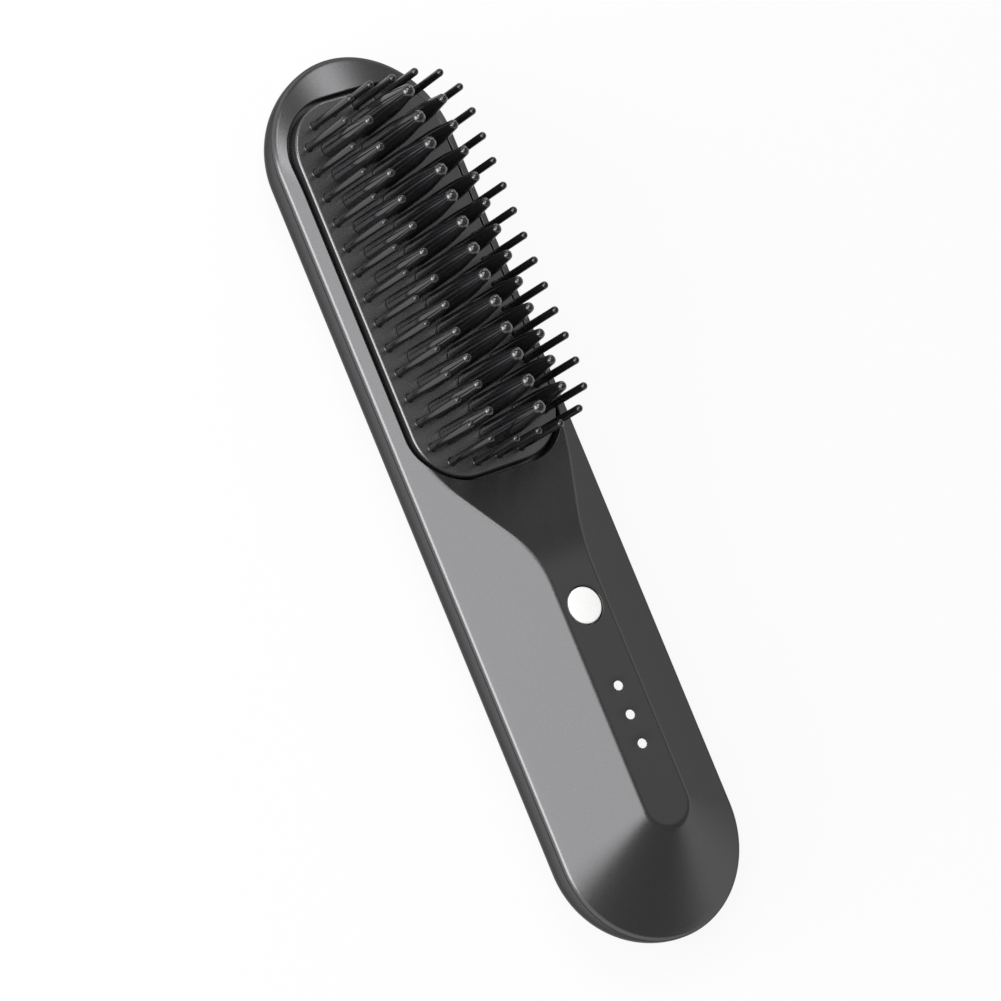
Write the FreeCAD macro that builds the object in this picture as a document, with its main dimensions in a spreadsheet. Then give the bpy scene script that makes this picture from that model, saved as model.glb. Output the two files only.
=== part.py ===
import FreeCAD, Part
import math
import os
import re

import Sketcher
from FreeCAD import Placement, Rotation, Vector

# Cordless hair straightening brush, in millimetres. X runs across the brush, +Y points to the
# head end, +Z points out of the toothed face. The brush lies on its flat back at Z = 0 and the
# origin is under the middle of its length.

sizes = {
    # Outer body
    "half_width": 20.4,  # centre line to the rim
    "head_margin": 7.4,  # head end to the plate opening
    "ramp_run": 24.7,  # plate opening to the top of the ramp
    "ramp_overlap": 5.7,  # how far the cells reach under the ramp
    "tail_space": 27.8,  # cells to the handle end
    "ridge_half_width": 5.15,  # flat strip along the handle
    "ridge_rise": 10.27,  # rim to the flat strip
    "ridge_tail": 25.3,  # handle end to the round end of the strip
    "strip_tail": 11.8,  # last lamp to the round end of the strip
    "head_slope_run": 52.3,  # head end to the far edge of its slope, if the slope ran on
    "deck_rise": 2.07,  # rim to the foot of the ramp
    "ramp_angle": 19.0,  # steepest part of the ramp, in degrees
    "ramp_low_radius": 52.0,
    "ramp_high_radius": 38.5,
    "skirt": 0.73,  # upright band of the front cover below the rim
    "seam": 0.2,  # line between the two covers
    "rim_round": 0.85,
    "back_upright": 0.3,  # upright band of the back cover above its large round
    "cover_wall": 1.8,
    "overrun": 3.0,  # how far every cut runs past the face that it opens
    # Comb plate
    "opening_margin": 2.7,  # rim to the side of the plate opening
    "opening_corner": 11.9,
    "plate_gap": 0.85,  # dark groove round the plate
    "plate_rise": 2.62,  # rim to the top of the plate
    "plate_round": 0.5,
    "flange_lap": 0.15,  # plate flange past the edge of the opening
    "flange_thickness": 1.2,
    "flange_gap": 0.1,  # plate flange to the front cover
    # Guard pins
    "pin_pitch": 5.227,
    "pin_end_step": 5.3,  # last side pin to the end row
    "pin_end_pitch": 5.3,
    "pin_inset": 3.55,  # pin row to the edge of the opening
    "pin_radius": 0.78,
    "pin_height": 16.4,
    "pin_flare_radius": 1.0,
    "pin_flare_height": 0.8,
    "pin_seat": 1.6,
    "pin_clearance": 0.05,
    # Heated teeth
    "tooth_pitch": 5.458,
    "tooth_inset": 5.4,  # side pins to a side column of teeth
    "tooth_shank_radius": 1.25,  # through the comb plate
    "tooth_base_radius": 2.6,  # middle column
    "tooth_waist_radius": 2.35,
    "tooth_waist_height": 11.15,  # above the comb plate
    "tooth_tip_radius": 1.4,
    "tooth_height": 20.15,  # above the comb plate
    "side_tooth_half_width": 2.3,  # side columns, oval at the foot
    "side_tooth_half_length": 1.95,
    "side_waist_radius": 1.8,
    "side_waist_height": 9.15,
    "side_tooth_tip_radius": 1.05,
    "side_tooth_height": 16.75,
    "tooth_clearance": 0.15,
    # Heater stack under the comb plate
    "heat_gap": 0.2,  # comb plate to heat plate
    "heat_plate_thickness": 1.8,
    "heat_plate_margin": 1.15,  # past the outer teeth
    "heat_plate_corner": 6.5,
    "heater_thickness": 1.3,
    "heater_inner": 2.1,  # centre line to a heater
    "heater_margin": 2.05,  # heater to the side of the heat plate
    "heater_end_margin": 6.15,  # heater to the end of the heat plate
    "insulator_thickness": 0.2,
    "clamp_thickness": 0.6,
    "clamp_margin": 1.0,  # heat plate edge past the clamp
    "clamp_screw_inset": 2.0,  # heater end to the first screw
    "clamp_bite": 1.4,  # screw thread inside the heat plate
    "sensor_width": 3.6,
    "sensor_length": 6.0,
    "sensor_thickness": 1.0,
    "fuse_radius": 0.6,
    "fuse_length": 4.0,
    "fuse_lead_radius": 0.25,
    "fuse_span": 12.0,  # over both of its wires
    "frame_clearance": 0.35,  # heat plate to frame wall
    "frame_wall": 1.2,
    "frame_floor": 1.0,
    "frame_lift": 2.5,  # back cover to frame
    "lug_reach": 3.4,
    "lug_length": 5.0,
    "lug_thickness": 1.2,
    "lug_bite": 1.8,  # screw thread inside the comb plate
    "felt_thickness": 1.9,
    "pad_clearance": 0.1,
    "rib_thickness": 1.6,
    "rib_spacing": 40.0,
    # Small screws of the heater, the frame and the boards
    "screw_radius": 0.8,
    "screw_head_radius": 1.5,
    "screw_head_height": 0.8,
    "screw_slot": 0.4,
    "screw_slot_depth": 0.4,
    "screw_clearance": 0.1,
    # Case screws
    "case_screw_radius": 1.0,
    "case_head_radius": 1.9,
    "case_head_height": 1.2,
    "case_head_sink": 2.2,  # back face to the seat of the head
    "case_screw_length": 14.0,
    "case_screw_offset": 5.0,  # centre line to a screw
    "case_head_gap": 9.5,  # cells to the screws beside the head
    "case_tail_gap": 4.2,  # cells to the screws beside the handle end
    "boss_radius": 2.8,
    "post_height": 7.2,
    # Cells
    "cell_gap": 0.4,
    "cell_lift": 0.8,  # least room under the cells
    "cell_side_room": 4.0,  # least room beside the cells
    "cell_cap_radius": 2.7,
    "cell_cap_height": 0.8,
    "cell_clearance": 0.2,
    "cradle_length": 36.0,
    "cradle_wrap": 3.2,  # how far the cradle reaches up beside the cells
    "cradle_clearance": 0.3,
    "cell_pad_width": 4.0,
    "cell_pad_thickness": 0.8,
    "tab_thickness": 0.2,
    "tab_width": 5.0,
    "tab_drop": 2.5,  # cell axis to the lower edge of a tab
    "tab_rise": 6.0,  # cell axis to the upper edge of a tab
    "cell_lead_radius": 0.5,
    # Main board
    "board_thickness": 1.0,
    "board_half_width": 9.6,
    "board_tail_inset": 1.5,
    "board_head_reach": 3.0,
    "board_boss_radius": 2.0,
    "board_screw_bite": 2.4,
    "board_head_screw": 7.0,  # board edge to the first screw
    "board_tail_screw": 2.5,
    "plug_width": 7.0,
    "plug_length": 4.0,
    "plug_height": 2.4,
    "chip_width": 4.5,
    "chip_length": 6.0,
    "chip_height": 1.2,
    "coil_side": 4.0,
    "coil_height": 2.0,
    "part_column": 4.8,  # centre line to the middle of a board part
    "part_row": 11.5,  # button to the first row of board parts
    "transistor_width": 5.0,
    "transistor_length": 6.0,
    "transistor_height": 1.4,
    "capacitor_radius": 1.5,
    "capacitor_height": 2.6,
    # Switch and button
    "switch_side": 6.0,
    "switch_height": 1.8,
    "plunger_radius": 1.0,
    "plunger_rise": 1.0,
    "plunger_seat": 0.7,
    "plunger_clearance": 0.3,
    "button_travel": 0.5,
    "button_setback": 5.45,  # top of the ramp to the middle of the button
    "button_radius": 3.65,
    "button_clearance": 0.25,
    "button_flange_radius": 4.35,
    "button_flange": 0.65,
    "button_play": 0.25,  # flange to the inside of the cover
    "button_proud": 0.15,
    "stem_radius": 1.3,
    "stem_length": 0.6,
    # Lamps
    "lamp_setback": 16.63,  # button to the first lamp
    "lamp_pitch": 5.96,
    "lamp_radius": 0.95,
    "lamp_clearance": 0.05,
    "lamp_bar_half_width": 1.9,
    "lamp_bar_thickness": 0.7,
    "lamp_chip_width": 1.6,
    "lamp_chip_length": 0.8,
    "lamp_chip_height": 0.7,
    "lamp_gap": 0.25,
    # Charging socket and its board
    "charge_lift": 4.6,  # back cover to the charging board
    "charge_half_width": 6.5,
    "charge_setback": 5.5,  # handle end to the charging board
    "charge_gap": 1.5,  # charging board to the screw bosses
    "charge_screw_offset": 4.4,
    "charge_screw_inset": 3.4,
    "charge_screw_bite": 3.0,
    "charge_post_radius": 1.8,
    "charge_chip_side": 4.0,
    "charge_chip_height": 1.0,
    "charge_chip_inset": 4.0,
    "socket_recess": 1.0,  # handle end to the mouth of the socket
    "socket_width": 8.94,
    "socket_height": 3.2,
    "socket_length": 7.4,
    "socket_wall": 0.3,
    "socket_clearance": 0.2,
    "tongue_width": 6.7,
    "tongue_thickness": 0.7,
    "tongue_base": 1.6,
    "tongue_recess": 0.8,
    # Wires
    "heater_lead_radius": 0.6,
    "heater_lead_offset": 1.2,
    "sensor_lead_radius": 0.3,
    "sensor_lead_offset": 0.45,
    "sensor_lead_spread": 1.35,  # centre line to a sensor wire in the head
    "charge_lead_radius": 0.4,
    "charge_lead_offset": 0.9,
    "charge_lead_inset": 1.5,
    "lead_clearance": 0.15,
    "lead_rise": 1.2,  # heater wires above the board
    "lead_drop": 2.6,  # how far below the board the charging wires turn
    "lead_run": 2.5,  # straight stretch at the end of a wire
}

# Worked out from the sizes above, in the same units
derived = {
    # Lengths along Y
    "row_half_length": "6 * pin_pitch",
    "path_half_width": "opening_half_width - pin_inset",
    "path_half_length": "row_half_length + pin_end_step",
    "path_corner": "opening_corner - pin_inset",
    "opening_half_width": "half_width - opening_margin",
    "opening_half_length": "path_half_length + pin_inset",
    "handle_run": "button_setback + lamp_setback + 2 * lamp_pitch + strip_tail + ridge_tail",
    "cell_length": "handle_run - tail_space + ramp_overlap",
    "body_length": "head_margin + 2 * opening_half_length + ramp_run + handle_run",
    "head_end": "body_length / 2",
    "handle_end": "0 - body_length / 2",
    "plate_centre": "head_end - head_margin - opening_half_length",
    "ramp_top": "plate_centre - opening_half_length - ramp_run",
    "cell_head": "ramp_top + ramp_overlap",
    "cell_tail": "cell_head - cell_length",
    "button_y": "ramp_top - button_setback",
    "lamp_y": "button_y - lamp_setback",
    "board_head": "cell_head + board_head_reach",
    "board_tail": "cell_tail + board_tail_inset",
    "board_mid_screw": "(button_y - button_flange_radius + lamp_y + lamp_bar_half_width) / 2",
    "part_y": "button_y - part_row",
    "charge_tail": "handle_end + charge_setback",
    "charge_head": "cell_tail - case_tail_gap - boss_radius - charge_gap",
    "charge_length": "charge_head - charge_tail",
    "socket_mouth": "handle_end + socket_recess",
    # Levels in the head, from the back upwards
    "frame_bottom": "cover_wall + frame_lift",
    "frame_top": "frame_bottom + frame_floor",
    "pad_top": "frame_top + felt_thickness",
    "clamp_bottom": "pad_top + pad_clearance + screw_head_height",
    "insulator_bottom": "clamp_bottom + clamp_thickness",
    "heater_bottom": "insulator_bottom + insulator_thickness",
    "heat_bottom": "heater_bottom + heater_thickness",
    "heat_top": "heat_bottom + heat_plate_thickness",
    "plate_bottom": "heat_top + heat_gap",
    "plate_step": "plate_bottom + flange_thickness",
    "split_level": "plate_step + flange_gap",
    "rim_level": "split_level + skirt",
    "plate_top": "rim_level + plate_rise",
    "heater_axis": "heat_bottom - heater_thickness / 2",
    "sensor_axis": "heat_bottom - sensor_thickness / 2",
    # Levels in the handle, from the strip downwards
    "strip_level": "rim_level + ridge_rise",
    "deck_level": "rim_level + deck_rise",
    "strip_inner": "strip_level - cover_wall",
    "flange_top": "strip_inner - button_play",
    "flange_bottom": "flange_top - button_flange",
    "plunger_top": "flange_bottom - stem_length",
    "switch_top": "plunger_top - plunger_rise",
    "board_top": "switch_top - switch_height",
    "board_bottom": "board_top - board_thickness",
    "cell_high_room": "board_bottom - cell_pad_thickness - cover_wall - cell_lift",
    "cell_wide_room": "half_width - cover_wall - cell_side_room - cell_gap / 2",
    "cell_radius": "min(cell_high_room; cell_wide_room) / 2",
    "cell_axis": "board_bottom - cell_pad_thickness - cell_radius",
    "cradle_height": "cell_axis - cell_radius - cover_wall + cradle_wrap",
    "post_top": "cover_wall + post_height",
    "charge_bottom": "cover_wall + charge_lift",
    "charge_top": "charge_bottom + board_thickness",
    "socket_axis": "charge_top + socket_height / 2",
    # Outlines
    "plate_half_width": "opening_half_width - plate_gap",
    "plate_half_length": "opening_half_length - plate_gap",
    "plate_corner": "opening_corner - plate_gap",
    "back_round": "split_level - seam - back_upright",
    "tooth_column": "path_half_width - tooth_inset",
    "heat_half_width": "tooth_column + tooth_shank_radius + heat_plate_margin",
    "heat_half_length": "6 * tooth_pitch + tooth_shank_radius + heat_plate_margin",
    "frame_inner_half_width": "heat_half_width + frame_clearance",
    "frame_inner_half_length": "heat_half_length + frame_clearance",
    "frame_inner_corner": "heat_plate_corner + frame_clearance",
    "cell_offset": "cell_radius + cell_gap / 2",
    "cradle_half_width": "half_width - back_round - cradle_clearance",
    "heater_width": "heat_half_width - heater_margin - heater_inner",
    "heater_offset": "heater_inner + heater_width / 2",
    "heater_length": "2 * (heat_half_length - heater_end_margin)",
    "clamp_screw_pitch": "(heater_length - 2 * clamp_screw_inset) / 3",
    "heater_head": "plate_centre + heater_length / 2",
    "heater_tail": "plate_centre - heater_length / 2",
    "facet_run": "half_width - ridge_half_width",
    "facet_length": "sqrt(facet_run * facet_run + ridge_rise * ridge_rise)",
}

side_rows = 13
end_pins = 5
tooth_rows = 13
lug_row_share = 4.5  # place of a frame lug, in rows of pins from the middle

doc = FreeCAD.newDocument("hair_straightening_brush")
sheet = doc.addObject("Spreadsheet::Sheet", "Sizes")
for row, (alias, value) in enumerate(sizes.items(), start=1):
    sheet.set(f"A{row}", alias)
    sheet.set(f"B{row}", str(value))
    sheet.setAlias(f"B{row}", alias)
doc.recompute()

pieces = []
name_pattern = re.compile(r"[a-z][a-z_]*")


# Values and bindings


def full(expression):
    """Expression in plain names, written out in cells of the sheet."""

    def swap(match):
        name = match.group()
        if name in derived:
            return "(" + full(derived[name]) + ")"
        return f"Sizes.{name}" if name in sizes else name

    return name_pattern.sub(swap, expression)


def number(expression):
    return float(sheet.evalExpression(full(expression)))


def bind(thing, **bindings):
    """Ties properties of a document object to expressions; Placement_x means Placement.Base.x."""
    for prop, expression in bindings.items():
        path = prop.replace("Placement_", "Placement.Base.").replace("Offset_", "AttachmentOffset.Base.")
        thing.setExpression(path, full(expression))
    return thing


def keep(label, thing):
    thing.Label = label
    pieces.append(thing)
    return thing


# Blocks, rods and booleans


def block(name, across, along, height, x, y, z):
    """Box centred on x and y that stands on z."""
    solid = doc.addObject("Part::Box", name)
    bind(solid, Length=across, Width=along, Height=height)
    bind(solid, Placement_x=f"{x} - ({across}) / 2", Placement_y=f"{y} - ({along}) / 2", Placement_z=z)
    return solid


axis_turns = {
    "x": Rotation(Vector(0, 1, 0), 90),
    "y": Rotation(Vector(1, 0, 0), -90),
    "z": Rotation(),
}


def rod(name, radius, length, x, y, z, along="z"):
    """Round bar that starts at x, y, z and runs along one axis."""
    solid = doc.addObject("Part::Cylinder", name)
    solid.Placement = Placement(Vector(), axis_turns[along])
    bind(solid, Radius=radius, Height=length, Placement_x=x, Placement_y=y, Placement_z=z)
    return solid


def cone(name, low_radius, high_radius, height, z):
    solid = doc.addObject("Part::Cone", name)
    bind(solid, Radius1=low_radius, Radius2=high_radius, Height=height, Placement_z=z)
    return solid


def ball(name, radius, z):
    solid = doc.addObject("Part::Sphere", name)
    bind(solid, Radius=radius, Placement_z=z)
    return solid


def fuse(name, *shapes):
    fusion = doc.addObject("Part::MultiFuse", name)
    fusion.Shapes = list(shapes)
    return fusion


def cut(name, base, *tools):
    result = doc.addObject("Part::Cut", name)
    result.Base = base
    result.Tool = tools[0] if len(tools) == 1 else fuse(name + "_tools", *tools)
    return result


def common(name, first, second):
    result = doc.addObject("Part::Common", name)
    result.Base = first
    result.Tool = second
    return result


def group(name, master, places):
    """Copies of one solid at several places, as separate solids of one object."""
    doc.recompute()
    copies = [master.Shape.translated(Vector(*(number(value) for value in place))) for place in places]
    copied = doc.addObject("Part::Feature", name)
    copied.Shape = Part.makeCompound(copies)
    return copied


def screw(name, radius, head_radius, head_height, length):
    """Screw that points up, with the seat of its head at zero and a cross slot below."""
    head = rod(name + "_head", head_radius, head_height, "0", "0", f"0 - {head_height}")
    shank = rod(name + "_shank", radius, length, "0", "0", "0")
    low = f"0 - {head_height} - overrun"
    depth = "overrun + screw_slot_depth"
    slot_x = block(name + "_slot_x", f"1.2 * {head_radius}", "screw_slot", depth, "0", "0", low)
    slot_y = block(name + "_slot_y", "screw_slot", f"1.2 * {head_radius}", depth, "0", "0", low)
    return cut(name, fuse(name + "_solid", head, shank), slot_x, slot_y)


# Sketched outlines


def new_sketch(body, name, role, **offsets):
    sketch = body.newObject("Sketcher::SketchObject", name)
    plane = next(feature for feature in body.Origin.OriginFeatures if feature.Role == role)
    sketch.AttachmentSupport = [(plane, "")]
    sketch.MapMode = "FlatFace"
    bind(sketch, **offsets)
    return sketch


def measure(sketch, name, expression, kind, *ends):
    """Dimension of a sketch, tied to an expression under its own name."""
    index = sketch.addConstraint(Sketcher.Constraint(kind, *ends, number(expression)))
    sketch.renameConstraint(index, name)
    sketch.setExpression(f"Constraints.{name}", full(expression))


def tangent_chain(sketch, count):
    """Joins the end of each element to the start of the next, without a corner."""
    for index in range(count):
        sketch.addConstraint(Sketcher.Constraint("Tangent", index, 2, (index + 1) % count, 1))


def arc(x, y, radius, start, end):
    circle = Part.Circle(Vector(x, y, 0), Vector(0, 0, 1), radius)
    return Part.ArcOfCircle(circle, math.radians(start), math.radians(end))


def line(x1, y1, x2, y2):
    return Part.LineSegment(Vector(x1, y1, 0), Vector(x2, y2, 0))


def stadium(body, name, level, radius, head_centre, handle_centre):
    """Two straight sides and two half circles about the Y axis."""
    sketch = new_sketch(body, name, "XY_Plane", Offset_z=level)
    r, top, low = number(radius), number(head_centre), number(handle_centre)
    sketch.addGeometry(line(r, low, r, top))
    sketch.addGeometry(arc(0, top, r, 0, 180))
    sketch.addGeometry(line(-r, top, -r, low))
    sketch.addGeometry(arc(0, low, r, 180, 360))
    tangent_chain(sketch, 4)
    sketch.addConstraint(Sketcher.Constraint("Vertical", 0))
    sketch.addConstraint(Sketcher.Constraint("PointOnObject", 1, 3, -2))
    sketch.addConstraint(Sketcher.Constraint("PointOnObject", 3, 3, -2))
    measure(sketch, "radius", radius, "Radius", 1)
    measure(sketch, "head_centre", head_centre, "DistanceY", -1, 1, 1, 3)
    measure(sketch, "handle_centre", f"0 - ({handle_centre})", "DistanceY", 3, 3, -1, 1)
    return sketch


def rounded_frame(body, name, level, half_width, half_length, corner):
    """Rectangle with round corners about the middle of the comb plate."""
    sketch = new_sketch(body, name, "XY_Plane", Offset_y="plate_centre", Offset_z=level)
    w, l, r = number(half_width), number(half_length), number(corner)
    sketch.addGeometry(line(w, r - l, w, l - r))
    sketch.addGeometry(arc(w - r, l - r, r, 0, 90))
    sketch.addGeometry(line(w - r, l, r - w, l))
    sketch.addGeometry(arc(r - w, l - r, r, 90, 180))
    sketch.addGeometry(line(-w, l - r, -w, r - l))
    sketch.addGeometry(arc(r - w, r - l, r, 180, 270))
    sketch.addGeometry(line(r - w, -l, w - r, -l))
    sketch.addGeometry(arc(w - r, r - l, r, 270, 360))
    tangent_chain(sketch, 8)
    for side in (0, 4):
        sketch.addConstraint(Sketcher.Constraint("Vertical", side))
    for end in (2, 6):
        sketch.addConstraint(Sketcher.Constraint("Horizontal", end))
    for bend in (3, 5, 7):
        sketch.addConstraint(Sketcher.Constraint("Equal", 1, bend))
    measure(sketch, "corner", corner, "Radius", 1)
    measure(sketch, "right", half_width, "DistanceX", -1, 1, 0, 1)
    measure(sketch, "left", half_width, "DistanceX", 4, 1, -1, 1)
    measure(sketch, "top", half_length, "DistanceY", -1, 1, 2, 1)
    measure(sketch, "low", half_length, "DistanceY", 6, 1, -1, 1)
    return sketch


def ramp_sketch(body, name, drop):
    """Space above the ramp in side view: deck, two tangent arcs with a straight slope between, strip."""
    sketch = new_sketch(body, name, "YZ_Plane", Offset_x="ramp_top")
    strip, deck = number(f"strip_level - {drop}"), number(f"deck_level - {drop}")
    low, high = number("ramp_low_radius"), number("ramp_high_radius")
    turn = math.radians(number("ramp_angle"))
    slope_rise = strip - deck - (low + high) * (1 - math.cos(turn))
    d_x, d_y = high * math.sin(turn), strip - high * (1 - math.cos(turn))
    c_x, c_y = d_x + slope_rise / math.tan(turn), d_y - slope_rise
    b_x = c_x + low * math.sin(turn)
    far = number("head_end + overrun - ramp_top")
    roof = number(f"strip_level - {drop} + overrun")
    angle = number("ramp_angle")
    sketch.addGeometry(line(far, deck, b_x, deck))
    sketch.addGeometry(arc(b_x, deck + low, low, 270 - angle, 270))
    sketch.addGeometry(line(c_x, c_y, d_x, d_y))
    sketch.addGeometry(arc(0, strip - high, high, 90 - angle, 90))
    sketch.addGeometry(line(0, strip, 0, roof))
    sketch.addGeometry(line(0, roof, far, roof))
    sketch.addGeometry(line(far, roof, far, deck))
    sketch.addConstraint(Sketcher.Constraint("Tangent", 0, 2, 1, 2))
    sketch.addConstraint(Sketcher.Constraint("Tangent", 1, 1, 2, 1))
    sketch.addConstraint(Sketcher.Constraint("Tangent", 2, 2, 3, 1))
    sketch.addConstraint(Sketcher.Constraint("Coincident", 3, 2, 4, 1))
    for index in (4, 5):
        sketch.addConstraint(Sketcher.Constraint("Coincident", index, 2, index + 1, 1))
    sketch.addConstraint(Sketcher.Constraint("Coincident", 6, 2, 0, 1))
    for flat in (0, 5):
        sketch.addConstraint(Sketcher.Constraint("Horizontal", flat))
    sketch.addConstraint(Sketcher.Constraint("Vertical", 6))
    for point in ((3, 3), (3, 2), (5, 1)):
        sketch.addConstraint(Sketcher.Constraint("PointOnObject", *point, -2))
    measure(sketch, "low_radius", "ramp_low_radius", "Radius", 1)
    measure(sketch, "high_radius", "ramp_high_radius", "Radius", 3)
    measure(sketch, "strip", f"strip_level - {drop}", "DistanceY", -1, 1, 3, 2)
    measure(sketch, "deck", f"deck_level - {drop}", "DistanceY", -1, 1, 0, 1)
    measure(sketch, "roof", f"strip_level - {drop} + overrun", "DistanceY", -1, 1, 5, 1)
    measure(sketch, "far", "head_end + overrun - ramp_top", "DistanceX", -1, 1, 6, 1)
    index = sketch.addConstraint(Sketcher.Constraint("Angle", 2, math.pi - turn))
    sketch.renameConstraint(index, "slope")
    sketch.setExpression("Constraints.slope", full("180 - ramp_angle"))
    return sketch


def pad(body, name, sketch, length, downward=False):
    feature = body.newObject("PartDesign::Pad", name)
    feature.Profile = sketch
    feature.Reversed = downward
    bind(feature, Length=length)
    return feature


def round_edges(body, name, feature, radius, chosen):
    """Rounds every edge of a feature that the test picks."""
    doc.recompute()
    edges = [f"Edge{i}" for i, edge in enumerate(feature.Shape.Edges, start=1) if chosen(edge)]
    fillet = body.newObject("PartDesign::Fillet", name)
    fillet.Base = (feature, edges)
    bind(fillet, Radius=radius)
    return fillet


def flat_at(level):
    """Test for edges that lie in one level plane."""
    height = number(level)
    tolerance = number("seam") * 0.01

    def test(edge):
        box = edge.BoundBox
        return abs(box.ZMin - height) < tolerance and abs(box.ZMax - height) < tolerance

    return test


# Covers


def cover_form(name, inset):
    """Outer form of the front cover, drawn in by an inset: skirt, facets, round ends and ramp."""
    body = doc.addObject("PartDesign::Body", name)
    rim_head, rim_handle = "head_end - half_width", "handle_end + half_width"
    skirt = stadium(body, name + "_skirt_outline", "split_level", f"half_width - {inset}", rim_head, rim_handle)
    pad(body, name + "_skirt", skirt, "skirt")
    slant = f"{inset} * facet_length / ridge_rise"
    low = stadium(body, name + "_rim_outline", "rim_level", f"half_width - {slant}", rim_head, rim_handle)
    high = stadium(
        body,
        name + "_strip_outline",
        f"strip_level - {inset}",
        f"ridge_half_width + {inset} * facet_run / ridge_rise - {slant}",
        "head_end - head_slope_run",
        "handle_end + ridge_tail",
    )
    loft = body.newObject("PartDesign::AdditiveLoft", name + "_facets")
    loft.Profile = low
    loft.Sections = [high]
    loft.Ruled = True
    ramp = ramp_sketch(body, name + "_ramp_outline", inset)
    pocket = body.newObject("PartDesign::Pocket", name + "_ramp")
    pocket.Profile = ramp
    pocket.Type = "ThroughAll"
    pocket.SideType = "Symmetric"
    doc.recompute()
    return body


def plate_column(name, level, height, half_width, half_length, corner):
    """Block with round corners about the middle of the comb plate."""
    body = doc.addObject("PartDesign::Body", name)
    outline = rounded_frame(body, name + "_outline", level, half_width, half_length, corner)
    pad(body, name + "_pad", outline, height)
    return body


def case_places(level):
    """Middles of the four case screws."""
    rows = ("cell_head + case_head_gap", "cell_tail - case_tail_gap")
    return [(f"{side} * case_screw_offset", row, level) for row in rows for side in (-1, 1)]


def board_places(level):
    """Middles of the main board's screws, in the valley between the cells."""
    rows = ("board_head - board_head_screw", "board_mid_screw", "board_tail + board_tail_screw")
    return [("0", row, level) for row in rows]


def charge_places(level):
    return [(f"{side} * charge_screw_offset", "charge_head - charge_screw_inset", level) for side in (-1, 1)]


def lamp_rows():
    return [f"lamp_y - {index} * lamp_pitch" for index in range(3)]


def racetrack(name, width, height, length, y):
    """Flat bar with round sides along Y about the axis of the charging socket."""
    middle = block(name + "_middle", f"{width} - ({height})", length, height, "0", f"{y} + ({length}) / 2",
                   f"socket_axis - ({height}) / 2")
    sides = [
        rod(f"{name}_side_{index}", f"({height}) / 2", length, f"{side} * (({width}) - ({height})) / 2", y,
            "socket_axis", "y")
        for index, side in enumerate((-1, 1))
    ]
    return fuse(name, middle, *sides)


def front_cover():
    outer = cover_form("front_outer", "0")
    rim_edges = flat_at("rim_level")
    rounded = round_edges(outer, "front_rim_round", outer.Tip, "rim_round", rim_edges)
    outer.Tip = rounded
    cavity = cover_form("front_cavity", "cover_wall")
    core = cover_form("front_core", "cover_wall / 2")
    case_boss = rod("case_boss", "boss_radius", "strip_level - post_top", "0", "0", "0")
    case_bosses = group("case_bosses", case_boss, case_places("post_top"))
    board_boss = rod("board_boss", "board_boss_radius", "strip_level - board_top", "0", "0", "0")
    board_bosses = group("board_bosses", board_boss, board_places("board_top"))
    below = plate_free_space()
    trimmed = common("front_bosses", fuse("all_bosses", case_bosses, board_bosses), fuse("boss_space", core, below))
    shell = fuse("front_shell", cut("front_hollow", outer, cavity), trimmed)
    opening = plate_column("plate_opening", "split_level - overrun", "ridge_rise + 2 * overrun",
                           "opening_half_width", "opening_half_length", "opening_corner")
    bore = rod("button_bore", "button_radius + button_clearance", "cover_wall + 2 * overrun", "0", "button_y",
               "strip_inner - overrun")
    lamp_bores = [
        rod(f"lamp_bore_{index}", "lamp_radius + lamp_clearance", "cover_wall + 2 * overrun", "0", y,
            "strip_inner - overrun")
        for index, y in enumerate(lamp_rows())
    ]
    case_pilot = rod("case_pilot", "case_screw_radius + screw_clearance / 2",
                     "case_head_sink + case_screw_length + pad_clearance", "0", "0", "0")
    board_pilot = rod("board_pilot", "screw_radius + screw_clearance / 2", "board_screw_bite + pad_clearance",
                      "0", "0", "0")
    pilots = [
        group("case_pilots", case_pilot, case_places("0")),
        group("board_pilots", board_pilot, board_places("board_top")),
    ]
    keep("front_cover", cut("front_cover_solid", shell, opening, bore, *lamp_bores, *pilots))


def plate_free_space():
    """Room below the front cover, where its screw bosses reach down into the back cover."""
    return block("below_split", "2 * (half_width - cover_wall)", "body_length", "split_level - cover_wall", "0", "0",
                 "cover_wall")


def back_form(name, low, high, radius, rounding):
    """Tub with a stadium outline and a large round along its lower edge."""
    body = doc.addObject("PartDesign::Body", name)
    outline = stadium(body, name + "_outline", low, radius, "head_end - half_width", "handle_end + half_width")
    tub = pad(body, name + "_tub", outline, f"{high} - ({low})")
    body.Tip = round_edges(body, name + "_round", tub, rounding, flat_at(low))
    doc.recompute()
    return body


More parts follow.
